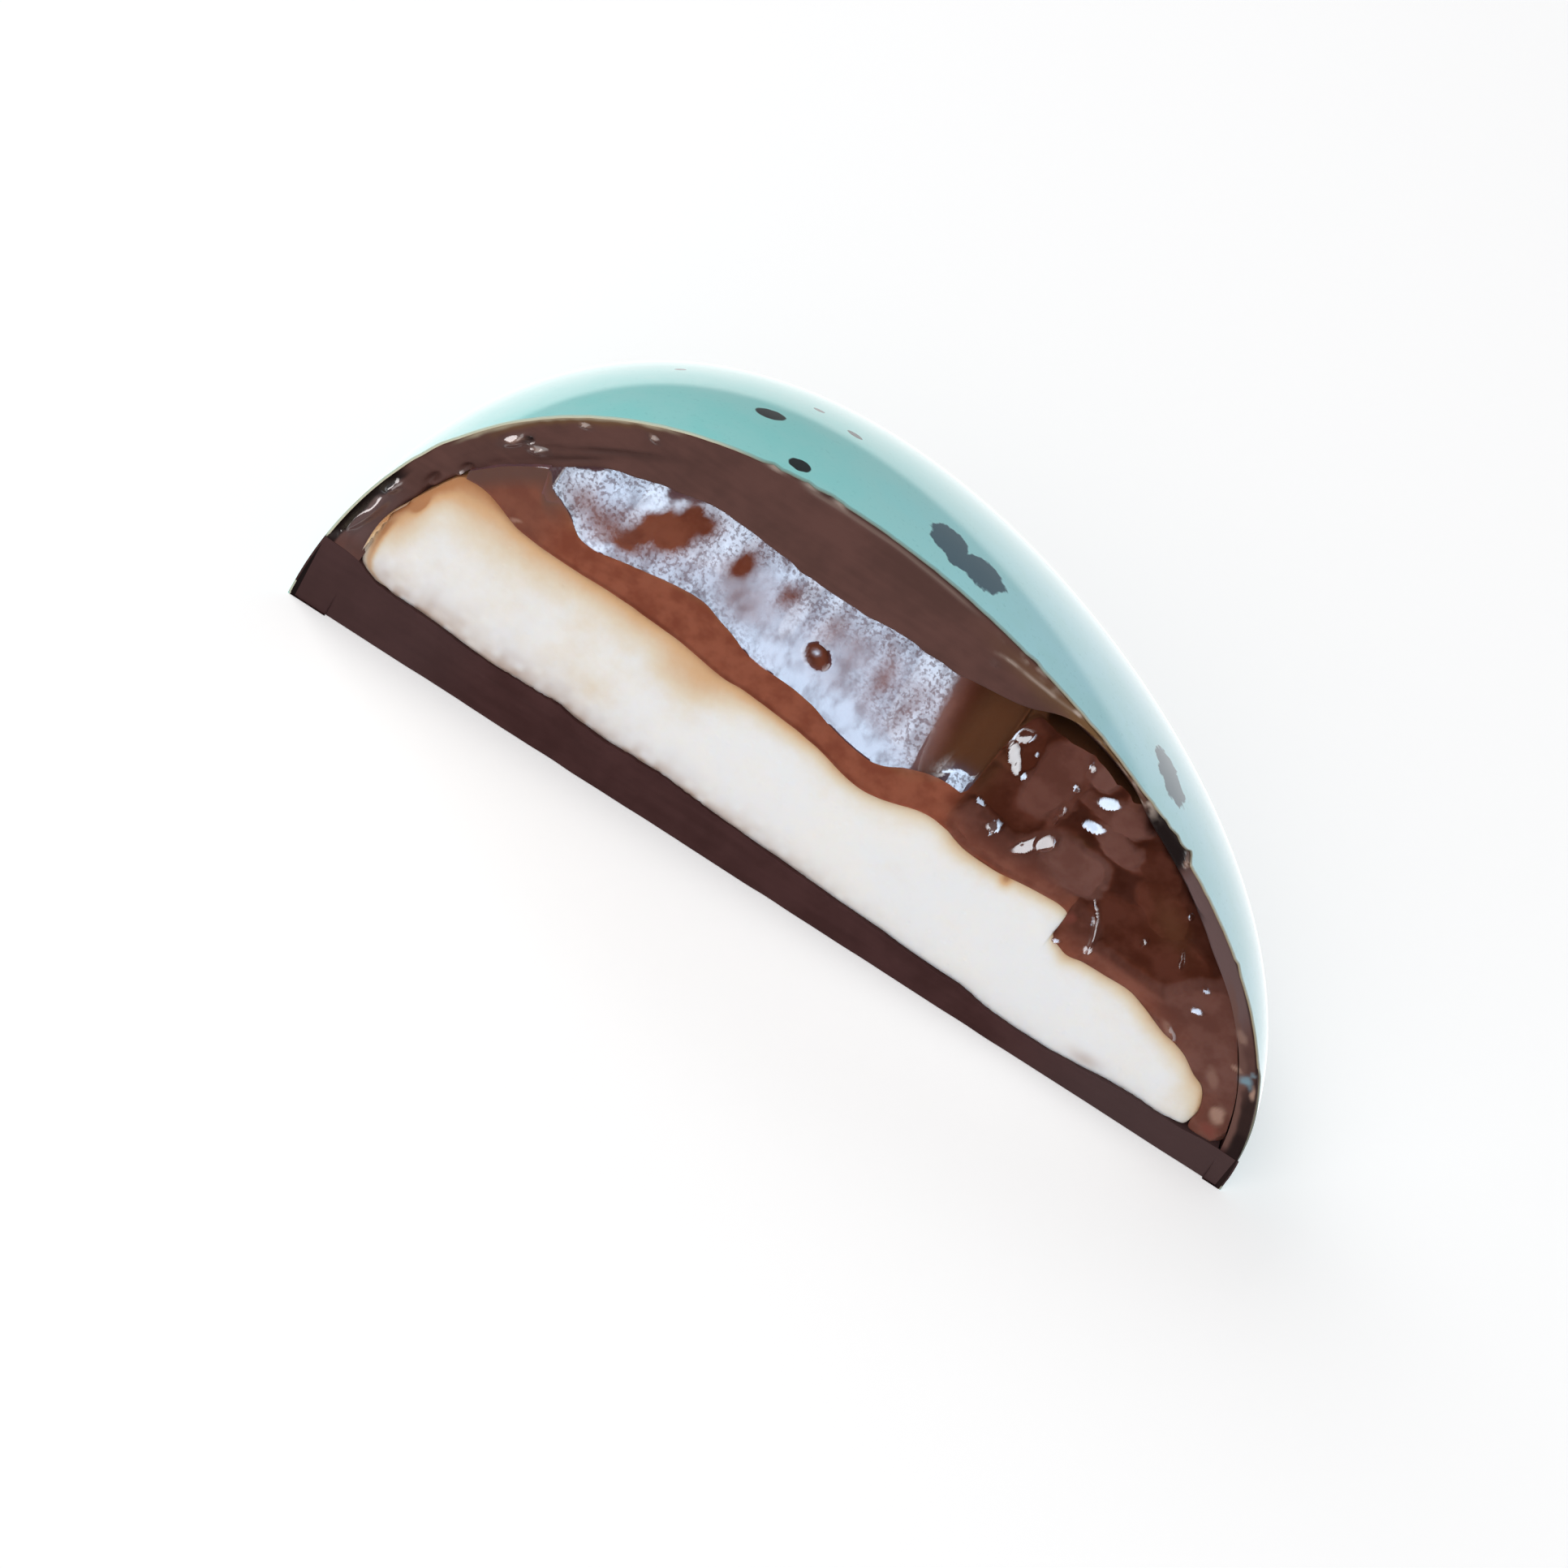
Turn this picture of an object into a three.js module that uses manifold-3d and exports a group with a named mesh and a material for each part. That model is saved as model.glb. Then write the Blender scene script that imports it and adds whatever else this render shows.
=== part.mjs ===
// A filled, moulded sweet in the shape of half an egg, cut in two lengthwise from crown to floor.
// What is left is a quarter of an egg: a chocolate shell closed by a chocolate floor, with a white
// marshmallow lying on the floor and soft caramel poured over it up to the shell.
//
// Millimetres. X runs from the blunt end to the pointed end, the cut face looks along -Y, Z is up.
// The origin is the middle of the bounding box's underside, which is the flat floor.
// u is the distance from the blunt end and v the distance behind the cut face.

import * as THREE from 'three';
import { mergeVertices } from 'three/addons/utils/BufferGeometryUtils.js';
import Module from 'manifold-3d';

// Driving dimensions
const LENGTH = 50; // blunt end to pointed end
const RADIUS = 20.7; // height over the floor, and depth behind the cut
const BLUNTNESS = 0.209; // moves the widest place towards the blunt end
const FULLNESS = 0.073; // fills out both ends of the outline

const WALL_BLUNT = 1.6; // shell at the blunt end
const WALL_POINT = 1.2; // shell at the pointed end
const WALL_CROWN = 3.7; // shell at the crown, where chocolate pools in the mould
const CROWN_AT = 20; // distance of that pool from the blunt end
const CROWN_REACH = 11; // half of its length

const GAP = 0.3; // between neighbouring pieces

const FLOOR_BLUNT = 3.2; // floor thickness near the blunt end
const FLOOR_POINT = 1.5; // floor thickness near the pointed end
const FLOOR_FILLET = 0.8; // rise of the floor into the corner at the blunt end

const WHITE_TOP_BLUNT = 9.9; // top of the marshmallow, over the underside
const WHITE_TOP_MIDDLE = 8.5;
const WHITE_CREST = 0.7; // raised corner at the blunt end
const WHITE_STEP = 1.7; // drop to the thinner, pointed part
const WHITE_STEP_AT = 37;
const WHITE_END_AT = 41.6; // from here the top falls away to the pointed end
const WHITE_END_SLOPE = 0.5;
const WHITE_COVER = 1.1; // extra caramel between marshmallow and shell at the pointed end

const HOLLOW_FROM = 7.8; // the empty pocket under the crown
const HOLLOW_TO = 31.5;
const HOLLOW_LIP = 11.6; // height of its front edge
const HOLLOW_FALL = 0.11; // fall of that edge per millimetre of length
const HOLLOW_HUMP = 0.8; // hump in that edge
const HOLLOW_HUMP_AT = 15.8;
const HOLLOW_SLOPE = 0.6; // rise of the pocket's floor towards the back
const HOLLOW_CURVE = 0.13; // and how fast that rise grows
const HOLLOW_CLIMB = 2.2; // climb of the floor at the blunt end, to where it meets the shell
const HOLLOW_BANK = 7; // climb of the floor at the other end

const TEAR_FROM = 30; // where the cut face of the caramel is torn, not sliced
const TEAR_TO = 46;
const TEAR_DEPTH = 1.2;
const TEAR_LUMP = 2.6; // size of the lumps in it
const TEAR_MARGIN = 0.5; // how far in front of the cut the tearing surface starts

// Fineness of the surfaces
const STEPS_LONG = 44;
const STEPS_ROUND = 11;
const CELL = 1.3;

const CUT_Y = -RADIUS / 2;
const toX = (u) => u - LENGTH / 2;
const toY = (v) => v + CUT_Y;

const lerp = THREE.MathUtils.lerp;
const smooth = (x, from, to) => THREE.MathUtils.smoothstep(x, from, to);
const bump = (x, at, width) => Math.exp(-(((x - at) / width) ** 2));

// ---- The egg's outline: half an oval, fuller at the blunt end ----

const fullAt = (t) => Math.sin(t) * (1 + BLUNTNESS * Math.cos(t) + FULLNESS * Math.cos(t) ** 2);

const FULLEST = Array.from({ length: 400 }, (_, i) => fullAt((Math.PI * i) / 399))
  .reduce((a, b) => Math.max(a, b));

// Outline at the angle t, 0 at the blunt end and pi at the pointed end: [u, radius].
function outline(t) {
  return [(LENGTH / 2) * (1 - Math.cos(t)), (RADIUS * fullAt(t)) / FULLEST];
}

// The outline's outward normal, [along u, along the radius].
function outlineNormal(t) {
  const step = 1e-4;
  const [u0, r0] = outline(Math.max(t - step, 0));
  const [u1, r1] = outline(Math.min(t + step, Math.PI));
  const length = Math.hypot(u1 - u0, r1 - r0);
  return [-(r1 - r0) / length, (u1 - u0) / length];
}

// Shell thickness at outline angle t and turn phi, where phi is 0 at the crown and pi/2 at the floor.
function wall(t, phi) {
  const [u] = outline(t);
  const side = lerp(WALL_BLUNT, WALL_POINT, t / Math.PI);
  const pool = 1 / (1 + ((u - CROWN_AT) / CROWN_REACH) ** 4);
  return side + (WALL_CROWN - side) * pool * Math.cos(phi) ** 2 * Math.sin(t) ** 2;
}

// Point of the egg's skin moved inwards by depth. At the two ends the skin meets the axis.
function skin(t, phi, depth) {
  const [u, r] = outline(t);
  const [nu, nr] = outlineNormal(t);
  const radius = Math.max(r - depth * nr, 0);
  return new THREE.Vector3(toX(u - depth * nu), toY(radius * Math.sin(phi)), radius * Math.cos(phi));
}

const turns = Array.from({ length: STEPS_ROUND + 1 }, (_, j) => ((Math.PI / 2) * j) / STEPS_ROUND);
const angles = Array.from({ length: STEPS_LONG + 1 }, (_, i) => (Math.PI * i) / STEPS_LONG);

// ---- Closed surfaces ----

// Joins a row of closed loops with the same number of points into one closed body.
// Each end loop has no area, so it needs no cap. Cells that shrink to nothing are left out.
function loft(loops) {
  const n = loops[0].length;
  const points = loops.flat().flatMap((p) => [p.x, p.y, p.z]);
  const index = [];
  for (let i = 0; i + 1 < loops.length; i += 1) {
    for (let j = 0; j < n; j += 1) {
      const a = i * n + j;
      const b = i * n + ((j + 1) % n);
      index.push(a, b + n, b, a, a + n, b + n);
    }
  }
  return closed(points, index);
}

// Body between the heights low(u, v) and high(u, v), over a rectangle larger than the egg.
function slab(low, high) {
  const margin = 2;
  const nu = Math.ceil((LENGTH + 2 * margin) / CELL);
  const nv = Math.ceil((RADIUS + 2 * margin) / CELL);
  const points = [];
  for (const height of [low, high]) {
    for (let i = 0; i <= nu; i += 1) {
      for (let j = 0; j <= nv; j += 1) {
        const u = -margin + (i * (LENGTH + 2 * margin)) / nu;
        const v = -margin + (j * (RADIUS + 2 * margin)) / nv;
        points.push(toX(u), toY(v), height(u, v));
      }
    }
  }
  const at = (side, i, j) => (side * (nu + 1) + i) * (nv + 1) + j;
  const index = [];
  const quad = (a, b, c, d) => index.push(a, b, c, a, c, d);
  for (let i = 0; i < nu; i += 1) {
    for (let j = 0; j < nv; j += 1) {
      quad(at(1, i, j), at(1, i + 1, j), at(1, i + 1, j + 1), at(1, i, j + 1));
      quad(at(0, i, j), at(0, i, j + 1), at(0, i + 1, j + 1), at(0, i + 1, j));
    }
  }
  for (let i = 0; i < nu; i += 1) {
    quad(at(0, i, 0), at(0, i + 1, 0), at(1, i + 1, 0), at(1, i, 0));
    quad(at(0, i + 1, nv), at(0, i, nv), at(1, i, nv), at(1, i + 1, nv));
  }
  for (let j = 0; j < nv; j += 1) {
    quad(at(0, 0, j + 1), at(0, 0, j), at(1, 0, j), at(1, 0, j + 1));
    quad(at(0, nu, j), at(0, nu, j + 1), at(1, nu, j + 1), at(1, nu, j));
  }
  return closed(points, index);
}

// Geometry from points and triangles, with doubled points merged and empty triangles dropped.
function closed(points, index) {
  const geometry = new THREE.BufferGeometry();
  geometry.setAttribute('position', new THREE.Float32BufferAttribute(points, 3));
  geometry.setIndex(index);
  const merged = mergeVertices(geometry, 1e-4);
  const kept = [];
  for (let i = 0; i < merged.index.count; i += 3) {
    const [a, b, c] = [0, 1, 2].map((k) => merged.index.getX(i + k));
    if (a !== b && b !== c && c !== a) kept.push(a, b, c);
  }
  merged.setIndex(kept);
  return merged;
}

const wasm = await Module();
wasm.setup();

// A closed geometry as a solid that can be cut, and a cut solid as a geometry again.
function toSolid(geometry) {
  const vertProperties = new Float32Array(geometry.attributes.position.array);
  const triVerts = new Uint32Array(geometry.index.array);
  return new wasm.Manifold(new wasm.Mesh({ numProp: 3, vertProperties, triVerts }));
}

function toGeometry(solid) {
  const mesh = solid.getMesh();
  const geometry = new THREE.BufferGeometry();
  geometry.setAttribute('position', new THREE.Float32BufferAttribute(mesh.vertProperties, 3));
  geometry.setIndex(Array.from(mesh.triVerts));
  return geometry;
}

// ---- The shell: between the skin and the inside of the wall ----

function shell() {
  const inwards = [...turns].reverse();
  return loft(angles.map((t) => [
    ...turns.map((phi) => skin(t, phi, 0)),
    ...inwards.map((phi) => skin(t, phi, wall(t, phi))),
  ]));
}

// All that is inside the shell, kept clear of it by clearance(t).
function inside(clearance) {
  return toSolid(loft(angles.map((t) => {
    const round = turns.map((phi) => skin(t, phi, wall(t, phi) + clearance(t)));
    return [new THREE.Vector3(round[0].x, CUT_Y, 0), ...round];
  })));
}

// ---- Heights of the layers ----

// Top of the floor. It was poured last and is thicker at the blunt end.
function floorTop(u) {
  const thinning = (FLOOR_BLUNT - FLOOR_POINT) * smooth(u, 6, 36);
  const fillet = FLOOR_FILLET * bump(u, 2, 1) + 0.4 * smooth(u, 39, 44);
  return FLOOR_BLUNT - thinning + fillet + 0.05 * Math.sin(1.3 * u);
}

// Top of the marshmallow, with its raised corner, the step and the fall to the pointed end.
function whiteTop(u, v) {
  const middle = lerp(WHITE_TOP_BLUNT, WHITE_TOP_MIDDLE, smooth(u, 8, 28));
  const crest = WHITE_CREST * bump(u, 5.3, 1.4) + 0.4 * bump(u, 29.8, 1.5);
  const step = WHITE_STEP * smooth(u, WHITE_STEP_AT - 0.6, WHITE_STEP_AT + 0.6);
  const end = WHITE_END_SLOPE * Math.max(u - WHITE_END_AT, 0);
  return middle + crest - step - end + 0.12 * Math.sin(0.9 * u + 0.5 * v);
}

// Top of the caramel: the floor of the empty pocket, which climbs to the shell all round.
function caramelTop(u, v) {
  const lip = HOLLOW_LIP - HOLLOW_FALL * (u - 10) + HOLLOW_HUMP * bump(u, HOLLOW_HUMP_AT, 2);
  const behind = Math.max(v, 0);
  const back = HOLLOW_SLOPE * behind + HOLLOW_CURVE * behind ** 2;
  const climb = HOLLOW_CLIMB * (1 - smooth(u, HOLLOW_FROM - 0.5, HOLLOW_FROM + 2.5));
  return lip + back + climb + HOLLOW_BANK * smooth(u, HOLLOW_TO - 5.5, HOLLOW_TO);
}

// How far behind the cut the torn part of the caramel's face lies. Less than 0 is not torn.
function tear(u, z) {
  const reach = smooth(u, TEAR_FROM - 2, TEAR_FROM + 2) * (1 - smooth(u, TEAR_TO - 4, TEAR_TO));
  const lumps = Math.sin((2 * Math.PI * u) / TEAR_LUMP) * Math.sin((2 * Math.PI * z) / TEAR_LUMP + u / 2);
  return reach * (TEAR_MARGIN + TEAR_DEPTH) * (0.7 + 0.3 * lumps) - TEAR_MARGIN;
}

// Body that takes the tear out of the caramel's face: a slab whose top, turned to face +Y,
// is the torn surface.
function tearCutter() {
  const front = slab(() => CUT_Y - 2, (u, v) => CUT_Y + tear(u, RADIUS - v));
  front.applyMatrix4(new THREE.Matrix4().set(
    1, 0, 0, 0,
    0, 0, 1, 0,
    0, -1, 0, toY(RADIUS),
    0, 0, 0, 1,
  ));
  return toSolid(front);
}

const below = (top) => toSolid(slab(() => -5, top));
const above = (bottom) => toSolid(slab(bottom, () => 3 * RADIUS));

// ---- The pieces ----

function floor() {
  return inside(() => GAP).intersect(below(floorTop));
}

function marshmallow() {
  const cover = (t) => GAP + WHITE_COVER * smooth(t / Math.PI, 0.6, 0.85);
  return inside(cover)
    .intersect(above((u) => floorTop(u) + GAP))
    .intersect(below(whiteTop));
}

function caramel() {
  const cover = (t) => WHITE_COVER * smooth(t / Math.PI, 0.6, 0.85);
  const keptForWhite = inside(cover).intersect(below((u, v) => whiteTop(u, v) + GAP));
  return inside(() => GAP)
    .intersect(above((u) => floorTop(u) + GAP))
    .subtract(keptForWhite)
    .intersect(below(caramelTop))
    .subtract(tearCutter());
}

function piece(name, geometry, color, roughness) {
  geometry.computeVertexNormals();
  const mesh = new THREE.Mesh(geometry, new THREE.MeshStandardMaterial({ color, roughness, metalness: 0 }));
  mesh.name = name;
  return mesh;
}

const egg = new THREE.Group();
egg.add(piece('shell', shell(), 0x8cc8c8, 0.2));
egg.add(piece('floor', toGeometry(floor()), 0x452f2d, 0.5));
egg.add(piece('marshmallow', toGeometry(marshmallow()), 0xece8e4, 0.8));
egg.add(piece('caramel', toGeometry(caramel()), 0x6a3a2a, 0.2));

export default egg;
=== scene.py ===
import math
from functools import partialmethod

import bmesh
import bpy
import numpy as np
from mathutils import Matrix, Vector


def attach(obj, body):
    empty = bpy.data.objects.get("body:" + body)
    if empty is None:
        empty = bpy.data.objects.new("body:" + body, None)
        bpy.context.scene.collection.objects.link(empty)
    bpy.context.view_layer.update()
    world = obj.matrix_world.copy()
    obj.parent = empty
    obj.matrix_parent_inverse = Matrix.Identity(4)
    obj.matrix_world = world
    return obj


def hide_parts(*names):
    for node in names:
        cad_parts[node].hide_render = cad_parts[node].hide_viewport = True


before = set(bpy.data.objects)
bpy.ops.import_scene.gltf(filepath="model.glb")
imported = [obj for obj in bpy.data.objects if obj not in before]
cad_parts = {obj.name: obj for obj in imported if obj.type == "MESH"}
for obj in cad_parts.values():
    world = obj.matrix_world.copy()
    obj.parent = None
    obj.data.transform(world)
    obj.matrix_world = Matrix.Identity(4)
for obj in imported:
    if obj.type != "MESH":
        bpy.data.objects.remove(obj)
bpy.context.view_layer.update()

# ----
# Chocolate wall
# The moulded shell of the egg, in plain dark milk chocolate. It pools thick in
# the crown of the mould, and the knife has dragged it along the rim.
# All shapes are in millimetres: u from the blunt end, v behind the cut, z up.
# ----

EGG_LENGTH = 50
EGG_RADIUS = 20.7
EGG_BLUNTNESS = 0.209
EGG_FULLNESS = 0.073
COAT_DEPTH = 0.12  # thickness of the coloured coat
WALL_DEPTH = COAT_DEPTH - 0.02  # the wall starts just inside the coat's inner face
WALL_BLUNT, WALL_POINT, WALL_CROWN = 1.6, 1.2, 3.7
POOL_MIDDLE, POOL_HALF_LENGTH = 20, 11  # of the thick chocolate in the crown
WALL_SETTLES = 1.6  # behind the cut, the wall takes its moulded thickness over this distance
# Thickness where the shell is cut, by distance of the rim from the blunt end.
WALL_AT_CUT = [
    (0, 1.95), (0.4, 1.85), (1, 1.55), (2.3, 1.65), (3, 1.72), (4, 2), (6, 2.6), (8, 2.78), (11, 3.15), (14, 3.45),
    (16, 3.8), (18, 4.2), (21, 4.45), (24, 4.1), (28, 3.4), (30, 2.6), (31, 2.05), (32, 1.1), (33, 0.6), (34.5, 0.4),
    (36.3, 0.45), (37.5, 0.72), (39.2, 0.8), (40, 0.85), (43, 1.05), (44, 1.1), (46, 0.9), (50, 1),
]
WALL_STEPS = (420, 40, 24, 36)  # along the egg, across the cut, round the inside, round the outside
SEEN_RISE = 0.814  # how much higher a point is seen against the cut plane, per millimetre behind it
FACE_DEPTH = 0.1  # usual depth of the chocolate's face behind the cut plane


def spread(*parts):
    """Points from their coordinates, which are first brought to one common shape."""
    return np.stack(np.broadcast_arrays(*parts), -1)


def steps(count):
    """A row of numbers, the first 0 and the last 1, with even steps between them."""
    return np.linspace(0, 1, count)[None]


def partway(first, last, share):
    """first + (last - first) * share."""
    return first + (last - first) * share


def ease(x, start, end):
    """0 at start and 1 at end, which may be the smaller; between them 3t^2 - 2t^3, with t the share of the way."""
    t = np.clip((x - start) / (end - start), 0, 1)
    return t * t * (3 - 2 * t)


def band(x, start, full, fading, end):
    """0 outside start and end, 1 from full to fading, and ease() between them."""
    return ease(x, start, full) * ease(x, end, fading)


def bell(x, at, width):
    """A hump of height 1: e to the power -((x - at) / width)^2."""
    return np.exp(-(((x - at) / width) ** 2))


def rounded(gap, reach):
    """Share of an edge's rounding at a gap from it: (1 - gap / reach)^2, and 0 beyond the reach."""
    return np.clip(1 - gap / reach, 0, 1) ** 2


def through(points, x):
    """Smooth curve through points (x, y): between two of them a cubic, whose slope at each point is
    that of the straight line between its two neighbours."""
    px, py = np.array(points, float).T
    slope = np.gradient(py, px)
    slope[1:-1] = (py[2:] - py[:-2]) / (px[2:] - px[:-2])
    x = np.clip(x, px[0], px[-1])
    i = np.clip(np.searchsorted(px, x) - 1, 0, len(px) - 2)
    width = px[i + 1] - px[i]
    t = (x - px[i]) / width
    return (py[i] + width * slope[i] * t * (1 - t) ** 2 + (py[i + 1] - py[i]) * t * t * (3 - 2 * t)
            - width * slope[i + 1] * t * t * (1 - t))


def uneven(size, seed, *place):
    """Smooth noise from -1 to 1 by place, in one to three coordinates: random values stand at the corners of cubes
    of that size, and inside a cube they blend with the weights 6t^5 - 15t^4 + 10t^3."""
    table = np.random.default_rng(seed).uniform(-1, 1, (32, 32, 32))
    p = spread(*place, *[0] * (3 - len(place))) / size + 7.3
    cell = np.floor(p).astype(int)
    t = p - cell
    t = t ** 3 * (t * (6 * t - 15) + 10)
    total = 0
    for corner in np.ndindex(2, 2, 2):
        weight = np.prod(np.where(corner, t, 1 - t), axis=-1)
        i, j, k = np.moveaxis((cell + corner) % 32, -1, 0)
        total = total + weight * table[i, j, k]
    return total


def outline(t):
    """The egg's half outline at angle t: u = length/2 (1 - cos t), radius = egg radius * g / max g, with
    g = sin t (1 + bluntness cos t + fullness cos^2 t). Returns u, radius and the outward normal."""
    def swell(cosine):
        return 1 + EGG_BLUNTNESS * cosine + EGG_FULLNESS * cosine ** 2
    all_round = np.linspace(0, np.pi, 2001)
    scale = EGG_RADIUS / (np.sin(all_round) * swell(np.cos(all_round))).max()
    c, s = np.cos(t), np.sin(t)
    du = EGG_LENGTH / 2 * s
    dr = scale * (c * swell(c) - s * s * (EGG_BLUNTNESS + 2 * EGG_FULLNESS * c))
    length = np.hypot(du, dr)
    return EGG_LENGTH / 2 * (1 - c), scale * s * swell(c), -dr / length, du / length


def skin(t, phi, depth):
    """Point of the egg's skin, moved in by depth along its normal: (u, r sin phi, r cos phi)."""
    u, r, nu, nr = outline(t)
    r = np.maximum(r - depth * nr, 0)
    return spread(u - depth * nu, r * np.sin(phi), r * np.cos(phi))


def wall(t, phi):
    """Shell thickness: blunt to pointed value along the egg, plus the pool in the crown, (crown - side) cos^2 phi
    sin^2 t / (1 + ((u - pool middle) / pool half length)^4), and towards the cut the cut's own thickness."""
    u, r, _, _ = outline(t)
    side = partway(WALL_BLUNT, WALL_POINT, t / np.pi)
    pool = (WALL_CROWN - side) / (1 + ((u - POOL_MIDDLE) / POOL_HALF_LENGTH) ** 4) * np.sin(t) ** 2
    at_cut = through(WALL_AT_CUT, u) + 0.09 * uneven(0.8, 6, u) * band(u, 7, 10, 29, 31)
    return partway(side + pool * np.cos(phi) ** 2, at_cut, bell(r * phi, 0, WALL_SETTLES))


# A spot is an oval on the cut: middle u and z as seen, half length, half width and tilt in degrees.
# Marks on the cut chocolate: spot, and depth (below 0: a ridge).
NICKS = [
    (6.15, 14.62, 0.16, 0.14, 30, 0.4), (5.66, 14.2, 0.6, 0.22, 52, -0.29), (6.68, 14.4, 0.4, 0.19, 22, -0.28),
    (7.95, 16.85, 0.26, 0.12, 15, -0.17), (10.8, 18.22, 0.24, 0.12, -15, -0.17), (3.28, 9.95, 0.42, 0.2, 70, 0.45),
    (3.3, 9.25, 0.3, 0.18, 75, 0.3), (4.4, 11.5, 0.3, 0.2, 50, 0.4), (4.75, 11.25, 0.2, 0.16, 40, -0.3),
    (4.3, 10.98, 0.14, 0.13, 0, -0.25), (1.88, 8.4, 0.45, 0.22, 50, -0.38), (1.52, 6.5, 1.25, 0.26, 74, -0.36),
    (1.13, 5.8, 0.8, 0.17, 78, -0.32), (1.5, 3.75, 0.35, 0.13, 95, -0.2), (1.3, 4.5, 0.6, 0.08, 112, -0.1),
    (3.4, 13.2, 0.3, 0.1, 40, -0.12), (9.3, 16.3, 2.6, 0.13, 33, 0.1), (8.4, 15.1, 1.9, 0.12, 38, 0.09),
    (7.4, 15.4, 1.6, 0.1, 40, -0.05), (10.5, 17.3, 1.6, 0.1, 27, -0.05), (28.1, 17.98, 0.14, 0.14, 0, -0.16),
    (5.4, 12.6, 0.5, 0.2, 50, 0.1), (41.42, 12.25, 0.24, 0.15, -40, -0.24), (43.95, 9.62, 0.15, 0.18, 0, -0.22),
    (39.72, 14.6, 0.3, 0.14, 110, -0.2),
]
WET_RIDGE = -0.11  # ridges that stand out more than this are wet
# Smudges of other colours at the two ends, and beige painted glints on wet ridges of the cut: spot, and strength.
SMUDGES_AND_GLINTS = {
    "beige": [
        (47.75, 3.65, 0.4, 0.55, 15, 0.75), (48.35, 5.75, 0.16, 0.4, 25, 0.8), (46.4, 8.15, 0.35, 0.25, -40, 0.35),
        (47.05, 6.5, 0.3, 0.16, 0, 0.6), (46.5, 5.3, 0.6, 0.3, -50, 0.25), (43.6, 6.3, 0.4, 0.2, -35, 0.3),
        # Painted glints, beige on wet ridges: (5.66, 14.2), (6.68, 14.4), (7.95, 16.85), (10.8, 18.22); (39.75, 14.55)
        # is a pale chip with a painted glint.
        (7.35, 10.55, 0.3, 0.2, 30, 0.5), (39.75, 14.55, 0.35, 0.12, 110, 0.8), (5.66, 14.2, 0.5, 0.1, 52, 0.5),
        (6.68, 14.4, 0.3, 0.1, 22, 0.5), (7.95, 16.85, 0.25, 0.1, 15, 0.5), (10.8, 18.22, 0.2, 0.1, 0, 0.5),
    ],
    "reddish": [
        (47.85, 2.65, 0.5, 0.4, 0, 0.7), (37.15, 8.6, 0.3, 0.35, 0, 0.6),
    ],
    "turquoise": [
        (47.75, 6.15, 0.42, 0.3, -20, 1), (47.9, 6.6, 0.2, 0.15, 0, 0.7),
    ],
}
SMUDGE_AND_GLINT_COLOURS = {"beige": (0.42, 0.26, 0.2), "reddish": (0.19, 0.055, 0.042), "turquoise": (0.17, 0.26, 0.31)}


def oval(u, z, at_u, at_z, long, wide, tilt, power=2):
    """Distance from the middle of a tilted oval, 1 on its edge: (|along / long|^p + |across / wide|^p)^(1/p)."""
    a = math.radians(tilt)
    along = ((u - at_u) * math.cos(a) + (z - at_z) * math.sin(a)) / long
    across = ((z - at_z) * math.cos(a) - (u - at_u) * math.sin(a)) / wide
    return (np.abs(along) ** power + np.abs(across) ** power) ** (1 / power)


def humps(u, z, spots):
    """Sum of a hump on each spot, an oval with a height: height e^-(d^2), with d the distance from oval()."""
    return sum(height * np.exp(-oval(u, z, *spot) ** 2) for *spot, height in spots)


def smudges_and_glints(u, z):
    """Mask of each kind of smudge, the beige also holding painted glints: the largest of its ovals with a soft, uneven
    edge.
    """
    bent = 0.12 * uneven(0.35, 51, u, z)
    return {kind: np.maximum.reduce([much * ease(oval(u + bent, z - bent, *spot), 1.3, 0.35) for *spot, much in spots])
            for kind, spots in SMUDGES_AND_GLINTS.items()}


def cut_relief(u, z, w, thick):
    """How far the cut chocolate lies behind the cut plane: its usual depth, sunk at the blunt end, plus smears along
    the rim, rounded edges, a facet along the rim of the blunt end, and the nicks."""
    from_rim, from_inside, blunt_half = w * thick, (1 - w) * thick, u < EGG_LENGTH / 2
    smears = 0.018 * uneven(0.7, 3, 0.16 * u, 1.3 * from_rim) + 0.01 * uneven(0.5, 4, 0.352 * u, 3.12 * from_rim)
    waves = 0.03 * uneven(1.6, 5, u, z) + 0.02 * uneven(0.5, 14, u, z) * ease(u, 14, 8)
    floor_joins = np.where(blunt_half, 3.9, 2)
    above_floor = ease(z, floor_joins - 0.1, floor_joins + 0.7)
    inner = 0.16 * rounded(from_inside, 0.22) * ease(u, 45, 43) * (1 - band(u, 4, 5, 7.5, 9))
    outer = 0.06 * rounded(from_rim, 0.12)
    facet = 0.2 * np.clip(1 - from_rim / (0.6 + 0.1 * np.sin(3 * z)), 0, 1) * ease(z, 10.2, 8.6) * blunt_half
    sunk = 0.24 * ease(u, 13, 9) + 0.14 * band(u, 38.5, 40.5, 44, 46)
    nicks = humps(u, z + SEEN_RISE * (FACE_DEPTH + sunk), NICKS)
    depth = FACE_DEPTH + (sunk + smears + waves + inner + outer + facet + nicks) * above_floor
    return np.maximum(depth, 0.005) * band(u, 0.02, 0.4, 49.6, 49.98)


MERGED_WITHIN, DEGENERATE_BELOW = 2e-7, 1e-8  # metres


def place(points):
    """Millimetres (u, v, z) to metres in the part's frame: x = u - length/2, y = v - radius/2."""
    return (np.asarray(points) - [EGG_LENGTH / 2, EGG_RADIUS / 2, 0]) / 1000


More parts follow.
